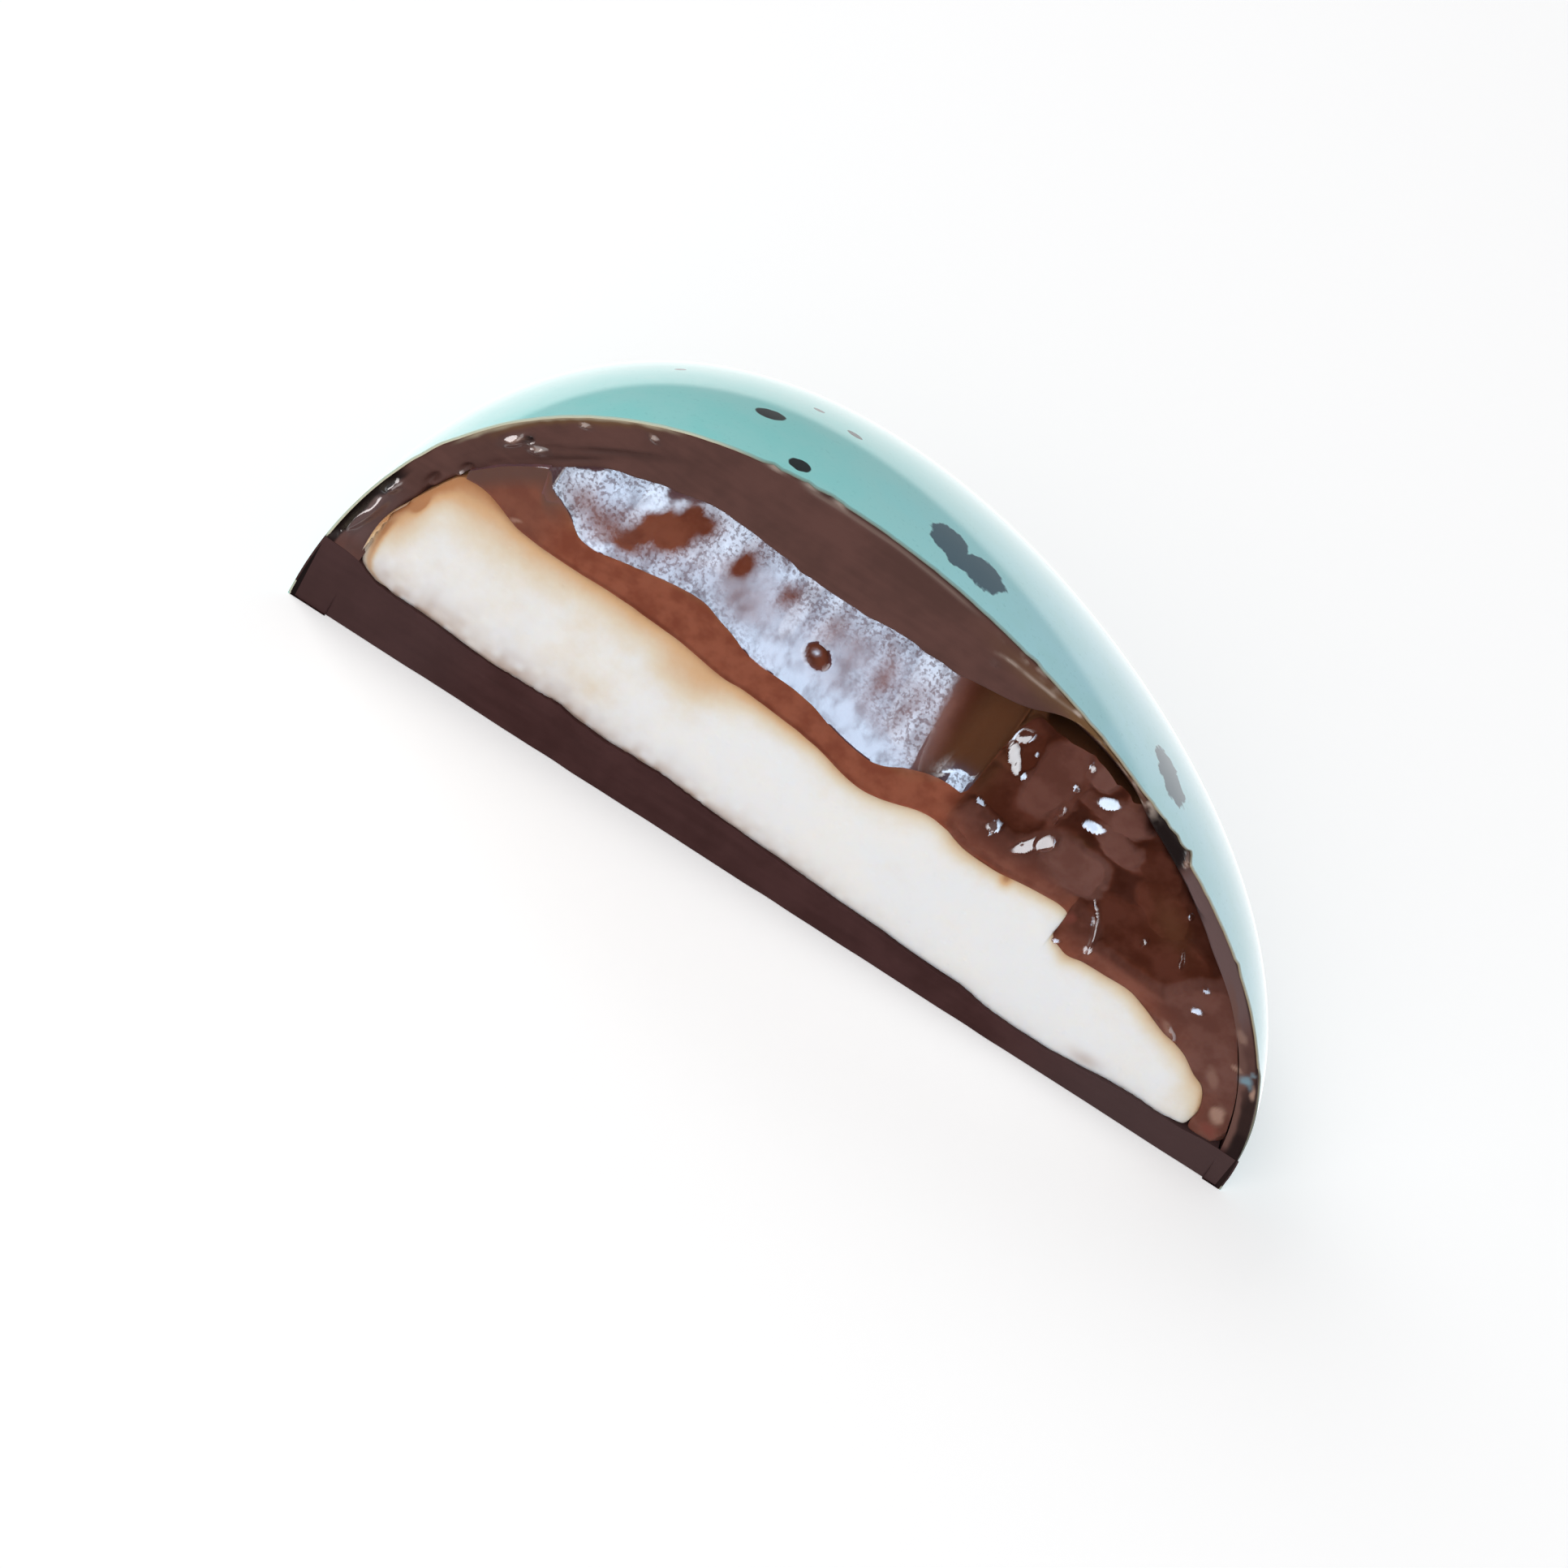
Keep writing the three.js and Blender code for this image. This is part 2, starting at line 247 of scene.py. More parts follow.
def body(name, loops, material, layers={}, crease=35):
    """Closed mesh from a row of closed loops (rows, n, 3): quads join neighbouring loops, a fan round the loop's
    middle closes each end, and points that coincide are merged. Layers hold one value per point. Edges sharper than
    the crease, in degrees, stay sharp."""
    rows, n, _ = loops.shape
    points = np.concatenate([loops.reshape(-1, 3), loops[[0, -1]].mean(axis=1)])
    i, j = np.meshgrid(np.arange(rows - 1), np.arange(n), indexing="ij")
    a, b = i * n + j, i * n + (j + 1) % n
    quads = np.stack([a, b, b + n, a + n], -1).reshape(-1, 4)
    k = np.arange(n)
    first = np.stack([np.full(n, rows * n), (k + 1) % n, k], -1)
    last = np.stack([np.full(n, rows * n + 1), (rows - 1) * n + k, (rows - 1) * n + (k + 1) % n], -1)
    mesh = bpy.data.meshes.new(name)
    mesh.from_pydata(place(points).tolist(), [], quads.tolist() + first.tolist() + last.tolist())
    for key, values in layers.items():
        values = np.asarray(values, float).reshape(-1)
        values = np.concatenate([values, values[[0, -1]]])
        mesh.attributes.new(key, "FLOAT", "POINT").data.foreach_set("value", values)
    made = bmesh.new()
    made.from_mesh(mesh)
    bmesh.ops.remove_doubles(made, verts=made.verts, dist=MERGED_WITHIN)
    bmesh.ops.dissolve_degenerate(made, edges=made.edges, dist=DEGENERATE_BELOW)
    if made.calc_volume(signed=True) < 0:
        bmesh.ops.reverse_faces(made, faces=made.faces)
    made.to_mesh(mesh)
    made.free()
    mesh.shade_smooth()
    mesh.set_sharp_from_angle(angle=math.radians(crease))
    mesh.materials.append(material)
    piece = bpy.data.objects.new(name, mesh)
    bpy.context.scene.collection.objects.link(piece)
    return piece


class Nodes:
    """The shader nodes of a material, a group or the room. The place is the socket with a point's place on the piece,
    in millimetres."""

    def __init__(self, tree, place=None):
        self.tree, self.place = tree, place

    def feed(self, node, inputs):
        """Gives each named input of a node a value or a link. A colour is red, green and blue."""
        for key, value in inputs.items():
            socket = node.inputs[key]
            if isinstance(value, bpy.types.NodeSocket):
                self.tree.links.new(value, socket)
            else:
                socket.default_value = (*value, 1) if socket.type == "RGBA" else value

    def add(self, kind, inputs={}, **settings):
        """Adds a node with its settings and inputs, and returns its outputs."""
        node = self.tree.nodes.new(kind)
        for key, value in settings.items():
            setattr(node, key, value)
        self.feed(node, inputs)
        return node.outputs

    def maths(self, operation, first, second):
        return self.add("ShaderNodeMath", {0: first, 1: second}, operation=operation)[0]

    plus = partialmethod(maths, "ADD")
    minus = partialmethod(maths, "SUBTRACT")
    times = partialmethod(maths, "MULTIPLY")
    larger = partialmethod(maths, "MAXIMUM")

    def axes(self, vector):
        return self.add("ShaderNodeSeparateXYZ", {0: vector})

    def ramp(self, value, low, high, to_low=0, to_high=1):
        """Smooth step of a value: to_low at low, to_high at high."""
        inputs = {0: value, 1: low, 2: high, 3: to_low, 4: to_high}
        return self.add("ShaderNodeMapRange", inputs, interpolation_type="SMOOTHSTEP")[0]

    def blend(self, share, first, second):
        """Colour between first and second by share, which is a number or a socket."""
        return self.add("ShaderNodeMix", {0: share, 6: first, 7: second}, data_type="RGBA")[2]

    def noise(self, size, detail=2, stretch=None):
        """Noise from about 0.3 to 0.7 whose grains measure size millimetres."""
        at = self.add("ShaderNodeMapping", {"Vector": self.place, "Scale": stretch})[0] if stretch else self.place
        inputs = {"Vector": at, "Scale": 1 / size, "Detail": detail, "Roughness": 0.55}
        return self.add("ShaderNodeTexNoise", inputs)[0]

    def cells(self, size):
        """Cells of about this size in millimetres: the distance from each one's middle, and its own colour."""
        made = self.add("ShaderNodeTexVoronoi", {"Vector": self.place, "Scale": 1 / size})
        return made["Distance"], made["Color"]

    def layer(self, name):
        """One of the layers that body() gave the mesh."""
        return self.add("ShaderNodeAttribute", attribute_name=name, attribute_type="GEOMETRY")["Fac"]

    def cover(self, colour, layers):
        """The colour, with each layer's colour laid over it in turn as strongly as the layer says."""
        for name, over in layers.items():
            colour = self.blend(self.layer(name), colour, over)
        return colour

    def bump(self, height, millimetres, strength):
        """The normal of a surface that rises by so many millimetres where the height goes from 0 to 1."""
        inputs = {"Height": height, "Distance": millimetres / 1000, "Strength": strength}
        return self.add("ShaderNodeBump", inputs)[0]


def finish(name):
    """New material: returns it, its nodes and its Principled shader."""
    material = bpy.data.materials.new(name)
    material.use_nodes = True
    nodes = Nodes(material.node_tree)
    where = nodes.add("ShaderNodeTexCoord")["Object"]
    nodes.place = nodes.add("ShaderNodeMapping", {"Vector": where, "Scale": (1000, 1000, 1000)})[0]
    return material, nodes, material.node_tree.nodes["Principled BSDF"]


def group(name, inputs, outputs):
    """New shader node group with these inputs, each with its kind, and these number outputs: returns its nodes, the
    sockets of its inputs and the node for its outputs."""
    tree = bpy.data.node_groups.new(name, "ShaderNodeTree")
    for key, kind in inputs.items():
        tree.interface.new_socket(key, in_out="INPUT", socket_type=kind)
    for key in outputs:
        tree.interface.new_socket(key, in_out="OUTPUT", socket_type="NodeSocketFloat")
    given = tree.nodes.new("NodeGroupInput").outputs
    return Nodes(tree, given["Place"]), given, tree.nodes.new("NodeGroupOutput")


# Chocolate grain, used by the wall and the floor: a cloudy tone from 0 to 1, and a height with fine grains and
# drag marks along the egg.
grain, _, grain_out = group("chocolate grain", {"Place": "NodeSocketVector"}, ["Tone", "Height"])
drag = grain.noise(0.45, stretch=(0.12, 1, 1))
tone = grain.plus(grain.times(grain.noise(2.6, 3), 0.75), grain.times(drag, 0.25))
height = grain.plus(grain.times(grain.noise(0.16, 3), 0.55), drag)
grain.feed(grain_out, {"Tone": grain.ramp(tone, 0.34, 0.66), "Height": height})


def chocolate(name, dark, light):
    """Chocolate whose colour clouds between dark and light. Returns the material, its nodes, its shader and its
    colour, which the caller varies further and links."""
    material, nodes, shader = finish(name)
    tone, height = nodes.add("ShaderNodeGroup", {"Place": nodes.place}, node_tree=grain.tree)
    nodes.feed(shader, {
        "Roughness": nodes.ramp(tone, 0, 1, 0.56, 0.44), "Specular IOR Level": 0.12,
        "Normal": nodes.bump(height, 0.02, 0.35)})
    return material, nodes, shader, nodes.blend(tone, dark, light)


wall_choc, nodes, shader, colour = chocolate("milk chocolate", (0.087, 0.039, 0.032), (0.118, 0.053, 0.044))
colour = nodes.blend(nodes.ramp(nodes.layer("low"), 0.3, 0.7), colour, (0.058, 0.022, 0.02))
# In this cover, dark is mostly painted shade, nearly black.
colour = nodes.cover(colour, {
    "dusty": (0.135, 0.085, 0.084), "smeared": (0.142, 0.07, 0.056), "olive": (0.17, 0.09, 0.032),
    # The beige also paints the glints on the wet ridges.
    "dark": (0.009, 0.005, 0.005), "cream": (0.5, 0.43, 0.3), "pale": (0.42, 0.34, 0.29), **SMUDGE_AND_GLINT_COLOURS})
nodes.feed(shader, {"Base Color": colour, "Coat Weight": nodes.layer("wet"), "Coat Roughness": 0.12, "Coat IOR": 1.7})

t = np.linspace(0, np.pi, WALL_STEPS[0] + 1)[:, None]
w = steps(WALL_STEPS[1] + 1)
rim = skin(t, 0, WALL_DEPTH)
inner_rim = skin(t, 0, wall(t, 0))
face = partway(rim, inner_rim, w[..., None])
face[..., 1] = cut_relief(face[..., 0], face[..., 2], w, np.linalg.norm(inner_rim - rim, axis=-1))
phi_in = np.pi / 2 * steps(WALL_STEPS[2] + 1)
inner = skin(t, phi_in, wall(t, phi_in))
inner[:, 0] = face[:, -1]
base = partway(skin(t, np.pi / 2, WALL_DEPTH), skin(t, np.pi / 2, wall(t, np.pi / 2)), w[..., None])
phi_out = np.pi / 2 * (1 - steps(WALL_STEPS[3] + 1))
outer = skin(t, phi_out, WALL_DEPTH)
outer[:, -1] = face[:, 0]
loops = np.concatenate([face, inner[:, 1:], base[:, ::-1][:, 1:], outer[:, 1:-1]], axis=1)

# What colours the cut, each from 0 to 1: by the place, and by the gap from the rim, straight or ragged.
u, v, z = np.moveaxis(loops, -1, 0)
seen_z = z + SEEN_RISE * v
on_cut = (np.arange(loops.shape[1])[None] <= WALL_STEPS[1]) * 1
rim_gap = np.hypot(u - rim[..., 0], z - rim[..., 2])
stray = 0.12 * uneven(0.5, 52, u, z)
ragged = rim_gap + stray
# Dark streaks: spot, and strength. The first is painted shade in a hole; the other two are darker lines along the rim.
STREAKS = [(6.15, 14.35, 0.2, 0.2, 0, 0.8), (9.8, 16.35, 2.8, 0.22, 33, 0.38), (8.2, 14.8, 1.9, 0.22, 38, 0.38)]
# Nearly black. Painted shade on the facet along the blunt end's rim, which turns away from the light, on the wall's
# inner side by the caramel's gap from u = 38.6 to 42.2, and in the first streak's hole. Also dark across the wall from
# u = 36.7 to 40, along the tip's rim, in a thin line along the rim past u = 16 and in the other streaks.
dark = np.maximum.reduce([
    0.92 * ease(ragged, 0.5, 0.36) * ease(z, 9.8, 8.6) * (u < EGG_LENGTH / 2),
    0.75 * ease(ragged, 0.75, 0.5) * ease(u, 47.6, 48.6),
    0.95 * band(u, 36.7, 37.3, 39.5, 40),
    0.8 * ease(ragged, 0.62, 0.75) * band(u, 38.6, 39.4, 41.2, 42.2),
    0.6 * ease(rim_gap, 0.16, 0.05) * ease(u, 16, 18),
    *[humps(u, z, [streak]) for streak in STREAKS]])
dusty = np.maximum(
    0.85 * band(u, 39.7, 40.4, 45.5, 47) * ease(z, 6, 8), 0.6 * ease(u, 3.4, 2.2) * band(z, 4, 5, 7, 9))
smeared = 0.9 * ease(u, 43.8, 45.5) * ease(ragged, 0.42, 0.7) * ease(z, 1.9, 2.4)
olive = (0.9 * bell(u, 33.6, 2.4) * ease(ragged, 0.9, 0.4) + 0.35 * bell(u, 30, 2.2) * bell(rim_gap, 0.7, 0.5)
         + 0.55 * bell(ragged, 0.34, 0.16) * band(u, 4, 5.5, 9, 11.5))
cream = 0.75 * ease(rim_gap + 0.6 * stray, 0.36, 0.17) * band(u, 3.2, 4.2, 10.5, 12)
ridge_line = through([(27.6, 18.3), (28.3, 18.45), (29.5, 18.3), (31.2, 18.08), (32.6, 18)], u)
flecks = ease(uneven(0.34, 55, u, 1.6 * z), 0.05, 0.6)
pale = ((0.25 + 0.4 * flecks) * bell(z, ridge_line, 0.09) * band(u, 27.6, 28.2, 32, 33)
        + (0.4 + 0.5 * bell(u, 36.6, 0.8)) * flecks * ease(rim_gap, 0.6, 0.25) * band(u, 27, 30, 37, 38)
        + 0.7 * (bell(u, 15.8, 0.4) + bell(u, 17.5, 0.35) + bell(u, 18.9, 0.3)) * ease(ragged, 0.3, 0.1)
        + 0.25 * band(u, 17, 18, 25, 27) * bell(rim_gap, 0.28, 0.1))
wet = np.maximum.reduce([ease(oval(u, seen_z, *spot), 2, 1.3) for *spot, deep in NICKS if deep < WET_RIDGE])
layers = {"dark": dark, "dusty": dusty, "smeared": smeared, "olive": olive, "cream": cream, "pale": pale, "wet": wet}
layers = {key: mask * on_cut for key, mask in {**layers, **smudges_and_glints(u, seen_z)}.items()}
chocolate_wall = body("chocolate_wall", loops, wall_choc, {**layers, "low": ease(z, 4, 2.6)})
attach(chocolate_wall, "root")
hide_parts("shell")

# ----
# Coloured coat
# Turquoise cocoa butter sprayed into the mould before the chocolate, with dark
# speckles flicked on first. It is a film outside the wall, glossy from the
# mould, and it has chipped along the cut and at the tip.
# ----

COAT_STEPS = (640, 84, 14)  # along the egg, round the outside, round the inside
# How far behind the cut the coat is chipped off, by distance from the blunt end.
CHIPPED = [
    (0, 0.2), (1.2, 0.22), (2, 0.3), (2.9, 0.34), (3.4, 0.08), (8, 0.03), (15.2, 0.03), (15.7, 0.2), (16.1, 0.05),
    (17.3, 0.16), (17.7, 0.05), (18.8, 0.14), (19.2, 0.03), (24, 0.06), (29, 0.04), (29.5, 0.12), (30, 0.03),
    (33, 0.05), (33.6, 0.14), (34.3, 0.05), (36.4, 0.04), (37.3, 0.14), (38, 0.28), (38.3, 0.22), (38.8, 0.42),
    (39.15, 0.36), (39.6, 0.7), (39.75, 0.68), (39.95, 0.06), (44, 0.05), (44.3, 0.2), (44.7, 0.05), (47.6, 0.08),
    (48.4, 0.4), (50, 0.7),
]
# Speckles: distance from the blunt end, turn from the crown in degrees, half length, half width, tilt in degrees.
SPECKLES = [
    (14.3, 11.4, 0.74, 0.52, 8), (16.6, 2.5, 0.56, 0.44, 0), (15.9, 19.9, 0.3, 0.2, 0), (17.8, 17.4, 0.42, 0.24, -15),
    (9.8, 21, 0.3, 0.2, 30), (5.2, 33, 0.5, 0.3, 40),
]
BLOTCHES = [
    (23.7, 7, 1.2, 1.1, -50), (25.6, 6.4, 1.3, 1.1, 10), (24.5, 5, 0.9, 0.6, 20), (37.3, 10.4, 1.6, 1, -38),
]
SPECKLE_WOBBLE, BLOTCH_WOBBLE = 0.35, 0.7  # how uneven their edges are
STREWN_CELL, STREWN_RADIUS = 5.2, 0.19  # other speckles are strewn: at most one in each cell, up to this radius


def facing(u, turn, tilt):
    """Place on the skin and the turn of a patch that lies on it: its z axis is the skin's normal, its x axis
    runs along the egg, tilted in the skin by tilt degrees."""
    t = math.acos(1 - 2 * u / EGG_LENGTH)
    phi = math.radians(turn)
    at = skin(np.array([t]), np.array([phi]), 0)[0]
    _, _, nu, nr = outline(np.array([t]))
    normal = Vector((nu[0], nr[0] * math.sin(phi), nr[0] * math.cos(phi)))
    along = Vector((nr[0], -nu[0] * math.sin(phi), -nu[0] * math.cos(phi)))
    a = math.radians(tilt)
    x = along * math.cos(a) + normal.cross(along) * math.sin(a)
    turned = Matrix((x, normal.cross(x), normal)).transposed()
    return Vector(place(at) * 1000), turned.to_euler()


# One speckle: 1 inside an uneven oval that lies on the skin, 0 outside, with a soft edge.
dot, dot_in, dot_out = group("speckle", {
    "Place": "NodeSocketVector", "Middle": "NodeSocketVector", "Turn": "NodeSocketVector",
    "Half size": "NodeSocketVector", "Wobble": "NodeSocketFloat"}, ["Mask"])
local = dot.add("ShaderNodeMapping", {
    "Vector": dot_in["Place"], "Location": dot_in["Middle"], "Rotation": dot_in["Turn"],
    "Scale": dot_in["Half size"]}, vector_type="TEXTURE")
from_middle = dot.add("ShaderNodeVectorMath", {0: local[0]}, operation="LENGTH")["Value"]
wobble = dot.times(dot.minus(dot.noise(0.55), 0.5), dot_in["Wobble"])
dot.feed(dot_out, {"Mask": dot.ramp(dot.plus(from_middle, wobble), 1, 0.86)})

coat_film, nodes, shader = finish("turquoise cocoa butter")


def speckles(spots, wobble):
    """The largest of the masks of all these speckles."""
    largest = 0
    for at_u, turn, long, wide, tilt in spots:
        middle, turned = facing(at_u, turn, tilt)
        one = nodes.add("ShaderNodeGroup", {
            "Place": nodes.place, "Middle": middle, "Turn": turned, "Half size": (long, wide, 1), "Wobble": wobble,
        }, node_tree=dot.tree)
        largest = nodes.larger(largest, one["Mask"])
    return largest


along_egg, behind, _ = nodes.axes(nodes.place)
from_middle, cell_colour = nodes.cells(STREWN_CELL)
first, second, _ = nodes.add("ShaderNodeSeparateColor", {0: cell_colour})
reach = nodes.times(nodes.times(first, second), STREWN_RADIUS)
stray = nodes.times(nodes.minus(nodes.noise(0.5), 0.5), 0.06)
inside = nodes.minus(nodes.plus(from_middle, stray), reach)
strewn = nodes.times(nodes.ramp(inside, 0.012, -0.012), nodes.ramp(behind, -2, -0.5))
mottled, fine = nodes.ramp(nodes.noise(1.8, 4), 0.35, 0.65), nodes.ramp(nodes.noise(0.22, 3), 0.58, 0.72)
# Painted reflection: the turquoise turns paler and bluer towards the pointed end, where the coat mirrors the bright
# sweep.
colour = nodes.blend(nodes.ramp(along_egg, -12, 10), (0.275, 0.72, 0.7), (0.49, 0.835, 0.92))
colour = nodes.blend(nodes.times(mottled, 0.3), colour, (0.4, 0.74, 0.73))
colour = nodes.blend(nodes.times(fine, 0.16), colour, (0.14, 0.44, 0.45))
colour = nodes.blend(nodes.times(speckles(BLOTCHES, BLOTCH_WOBBLE), 0.92), colour, (0.05, 0.085, 0.125))
colour = nodes.blend(nodes.larger(strewn, speckles(SPECKLES, SPECKLE_WOBBLE)), colour, (0.003, 0.008, 0.01))
rim_colour = nodes.blend(nodes.ramp(along_egg, -13, -9), (0.6, 0.53, 0.38), (0.16, 0.17, 0.13))
rim_colour = nodes.blend(nodes.ramp(along_egg, 3, 8), rim_colour, (0.3, 0.2, 0.1))
waves = nodes.plus(nodes.noise(3), nodes.times(nodes.noise(0.5), 0.08))
nodes.feed(shader, {
    "Base Color": nodes.cover(colour, {"edge": rim_colour}), "Roughness": 0.3, "Specular IOR Level": 0.1,
    "Coat Weight": 1, "Coat Roughness": 0.04, "Coat IOR": 1.5, "Normal": nodes.bump(waves, 0.05, 0.35)})

t = np.linspace(0, np.pi, COAT_STEPS[0] + 1)[:, None]
u, r, _, _ = outline(t)
gone = np.interp(u, *np.array(CHIPPED).T) * (1 + 0.35 * uneven(0.35, 10, u))
gone = gone + 0.02 * uneven(0.5, 8, u) + 0.015 * uneven(1.7, 9, u)
start = np.maximum(gone, 0) / np.maximum(r, 1.5)
out = steps(COAT_STEPS[1] + 1) ** 1.25
back = steps(COAT_STEPS[2] + 1)[:, ::-1] ** 1.25
outer = skin(t, partway(start, np.pi / 2, out), 0)
inner = skin(t, partway(start, np.pi / 2, back), COAT_DEPTH)
loops = np.concatenate([outer, inner], axis=1)
edge = np.zeros(loops.shape[:2])
edge[:, 0] = 0.6
edge[:, COAT_STEPS[1] + 1:] = 1
coat = body("coloured_coat", loops, coat_film, {"edge": edge})
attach(coat, "root")
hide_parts("shell")

# ----
# Chocolate floor
# The shell is closed with a layer of darker chocolate, poured on last, on
# which the filling stands. It is thicker at the blunt end.
# ----

# Height of the floor's top by distance from the blunt end.
FLOOR_TOP = [
    (0, 3.9), (2, 3.75), (2.7, 3.4), (3.4, 3.1), (5, 3.02), (7, 2.95), (8, 2.82), (10, 2.76), (12, 2.8), (13, 2.9),
    (14, 2.68), (16, 2.56), (18, 2.65), (20.4, 2.5), (24.7, 2.2), (29, 2), (33.3, 1.7), (35, 1.7), (36.5, 1.4),
    (38, 1.32), (40, 1.36), (41.5, 1.5), (44, 1.68), (46.5, 1.68), (48, 1.9), (50, 1.9),
]
FLOOR_UNDERSIDE = 0.03
FLOOR_INTO_WALL = 0.15
FLOOR_END = 0.045  # angle of the egg's outline at which the floor ends, counted from each tip
FLOOR_STEPS = (400, 22, 9)  # along the egg, up the cut face, backwards


def hollow_table():
    """Radius of the hollow inside the wall, by distance from the blunt end (rows) and by turn (columns)."""
    along = np.linspace(0, EGG_LENGTH, 501)
    turns = np.linspace(0, np.pi / 2, 46)
    t = np.linspace(0.02, np.pi - 0.02, 1200)[:, None]
    inside = skin(t, turns[None], wall(t, turns[None]))
    radius = np.hypot(inside[..., 1], inside[..., 2])
    columns = [np.interp(along, inside[:, k, 0], radius[:, k], 0, 0) for k in range(len(turns))]
    return along, turns, np.stack(columns, 1)


HOLLOW = hollow_table()


def hollow(u, phi):
    """Radius of the hollow at u and turn phi, read between the table's rows and columns."""
    along, turns, table = HOLLOW
    x = np.clip(u / along[-1] * (len(along) - 1), 0, len(along) - 1.001)
    y = np.clip(phi / turns[-1] * (len(turns) - 1), 0, len(turns) - 1.001)
    i, j = x.astype(int), y.astype(int)
    return partway(partway(table[i, j], table[i + 1, j], x - i),
                   partway(table[i, j + 1], table[i + 1, j + 1], x - i), y - j)


def depth_of_hollow(u, z):
    """How far behind the cut the hollow reaches at u and height z: v with v^2 + z^2 = radius^2."""
    phi = np.full(np.broadcast(u, z).shape, 1.0)
    for _ in range(6):
        phi = np.arccos(np.clip(z / np.maximum(hollow(u, phi), 1e-6), 0, 1))
    return np.sqrt(np.maximum(hollow(u, phi) ** 2 - z ** 2, 0))


floor_choc, nodes, shader, colour = chocolate("dark chocolate", (0.05, 0.018, 0.017), (0.068, 0.027, 0.026))
along_egg = nodes.axes(nodes.place)[0]
ends = nodes.plus(nodes.ramp(along_egg, 11, 19, 0, 0.75), nodes.ramp(along_egg, -14, -19, 0, 0.35))
nodes.feed(shader, {"Base Color": nodes.blend(ends, colour, (0.074, 0.043, 0.043))})

t = np.linspace(FLOOR_END, np.pi - FLOOR_END, FLOOR_STEPS[0])[:, None]
u, rim_z, _, _ = outline(t)
ragged = (0.035 + 0.04 * band(u, 9, 12, 22, 25)) * uneven(0.25, 15, u) + 0.04 * uneven(0.8, 16, u)
top = np.minimum(through(FLOOR_TOP, u) + ragged * band(u, 2.5, 3.5, 46, 47.5), rim_z - 0.05)
z = partway(FLOOR_UNDERSIDE, top, steps(FLOOR_STEPS[1]))
relief = (0.02 * uneven(0.4, 12, 0.1 * u, z) + 0.03 * uneven(1.3, 13, u, z)
          - 0.05 * bell(z, top - 0.6, 0.12) * band(u, 4, 6, 10, 18) + 0.04 * rounded(top - z, 0.12))
relief = np.maximum(0.09 + relief * band(u, 1.6, 3, 46.5, 48), 0.01)
share = steps(FLOOR_STEPS[2])
over = spread(u, partway(relief[:, -1:], depth_of_hollow(u, top) + FLOOR_INTO_WALL, share), top)
under = spread(u, partway(depth_of_hollow(u, 0) + FLOOR_INTO_WALL, relief[:, :1], share), FLOOR_UNDERSIDE)
loops = np.concatenate([spread(u, relief, z), over[:, 1:], under[:, :-1]], axis=1)
chocolate_floor = body("chocolate_floor", loops, floor_choc)
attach(chocolate_floor, "root")
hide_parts("floor")

# ----
# Marshmallow
# Whipped white marshmallow piped on the floor's side of the shell. It is soft,
# so the cut face swells a little and its edges are round, and the caramel has
# soaked into its top.
# ----

# Corners of the cut face from the blunt to the pointed end: top u, top z, and the lower edge's point below, u and z.
WHITE_EDGES = [
    (2.07, 4.7, 2.08, 4.55), (2.1, 5.5, 2.12, 4.05), (2.2, 6.3, 2.32, 3.6), (2.42, 7, 2.75, 3.3),
    (2.8, 7.8, 3.3, 3.14), (3.2, 8.6, 3.8, 3.12), (3.5, 9.18, 4.2, 3), (3.9, 9.98, 4.6, 3.02), (4.35, 10.63, 5, 3),
    (4.9, 10.83, 5.4, 3), (5.5, 10.8, 5.8, 3), (6.2, 10.6, 6.3, 2.97), (6.85, 10.28, 6.9, 2.94), (7.5, 10, 7.5, 2.9),
    (8.3, 9.88, 8.3, 2.8), (9.2, 9.78, 9.2, 2.76), (10.5, 9.75, 10.5, 2.75), (12, 9.78, 12, 2.78),
    (13, 9.76, 13, 2.88), (14, 9.73, 14, 2.66), (16, 9.58, 16, 2.54), (17.4, 9.38, 17.4, 2.6),
    (18.4, 9.18, 18.4, 2.64), (19.5, 9.21, 19.5, 2.56), (21, 9.08, 21, 2.45), (22.5, 8.93, 22.5, 2.34),
    (23.8, 8.73, 23.8, 2.25), (24.6, 8.46, 24.6, 2.2), (25.5, 8.18, 25.5, 2.16), (26.5, 8.08, 26.5, 2.1),
    (27.5, 8.28, 27.5, 2.06), (28.5, 8.68, 28.5, 2), (29.5, 8.9, 29.5, 1.96), (30.2, 8.83, 30.2, 1.9),
    (31, 8.5, 31, 1.86), (31.8, 8.28, 31.8, 1.78), (33.5, 8.23, 33.5, 1.7), (34.5, 8.43, 34.5, 1.68),
    (35.5, 8.53, 35.3, 1.6), (36.4, 8.58, 36.1, 1.46), (36.93, 8.43, 36.55, 1.38), (36.98, 8.1, 36.8, 1.34),
    (36.92, 7.6, 37, 1.32), (36.96, 7.15, 37.25, 1.31), (37.35, 6.75, 37.6, 1.31), (38.1, 6.4, 38.3, 1.3),
    (38.8, 6.56, 38.9, 1.32), (40, 6.6, 40, 1.34), (41.2, 6.62, 41.2, 1.46), (42.2, 6.28, 42.2, 1.56),
    (43, 5.9, 43, 1.64), (43.6, 5.64, 43.6, 1.66), (44.3, 5.48, 44.3, 1.68), (45, 5.18, 45, 1.66),
    (45.8, 4.58, 45.7, 1.64), (46.4, 4.25, 46.2, 1.76), (46.8, 3.6, 46.55, 1.8), (47, 2.9, 46.8, 1.86),
    (46.97, 2.4, 46.9, 2), (46.95, 2.2, 46.93, 2.12),
]
WHITE_STEPS = (460, 60, 10)  # along the egg, up the cut face, over each of the other sides
WHITE_INTO_FLOOR = 0.06
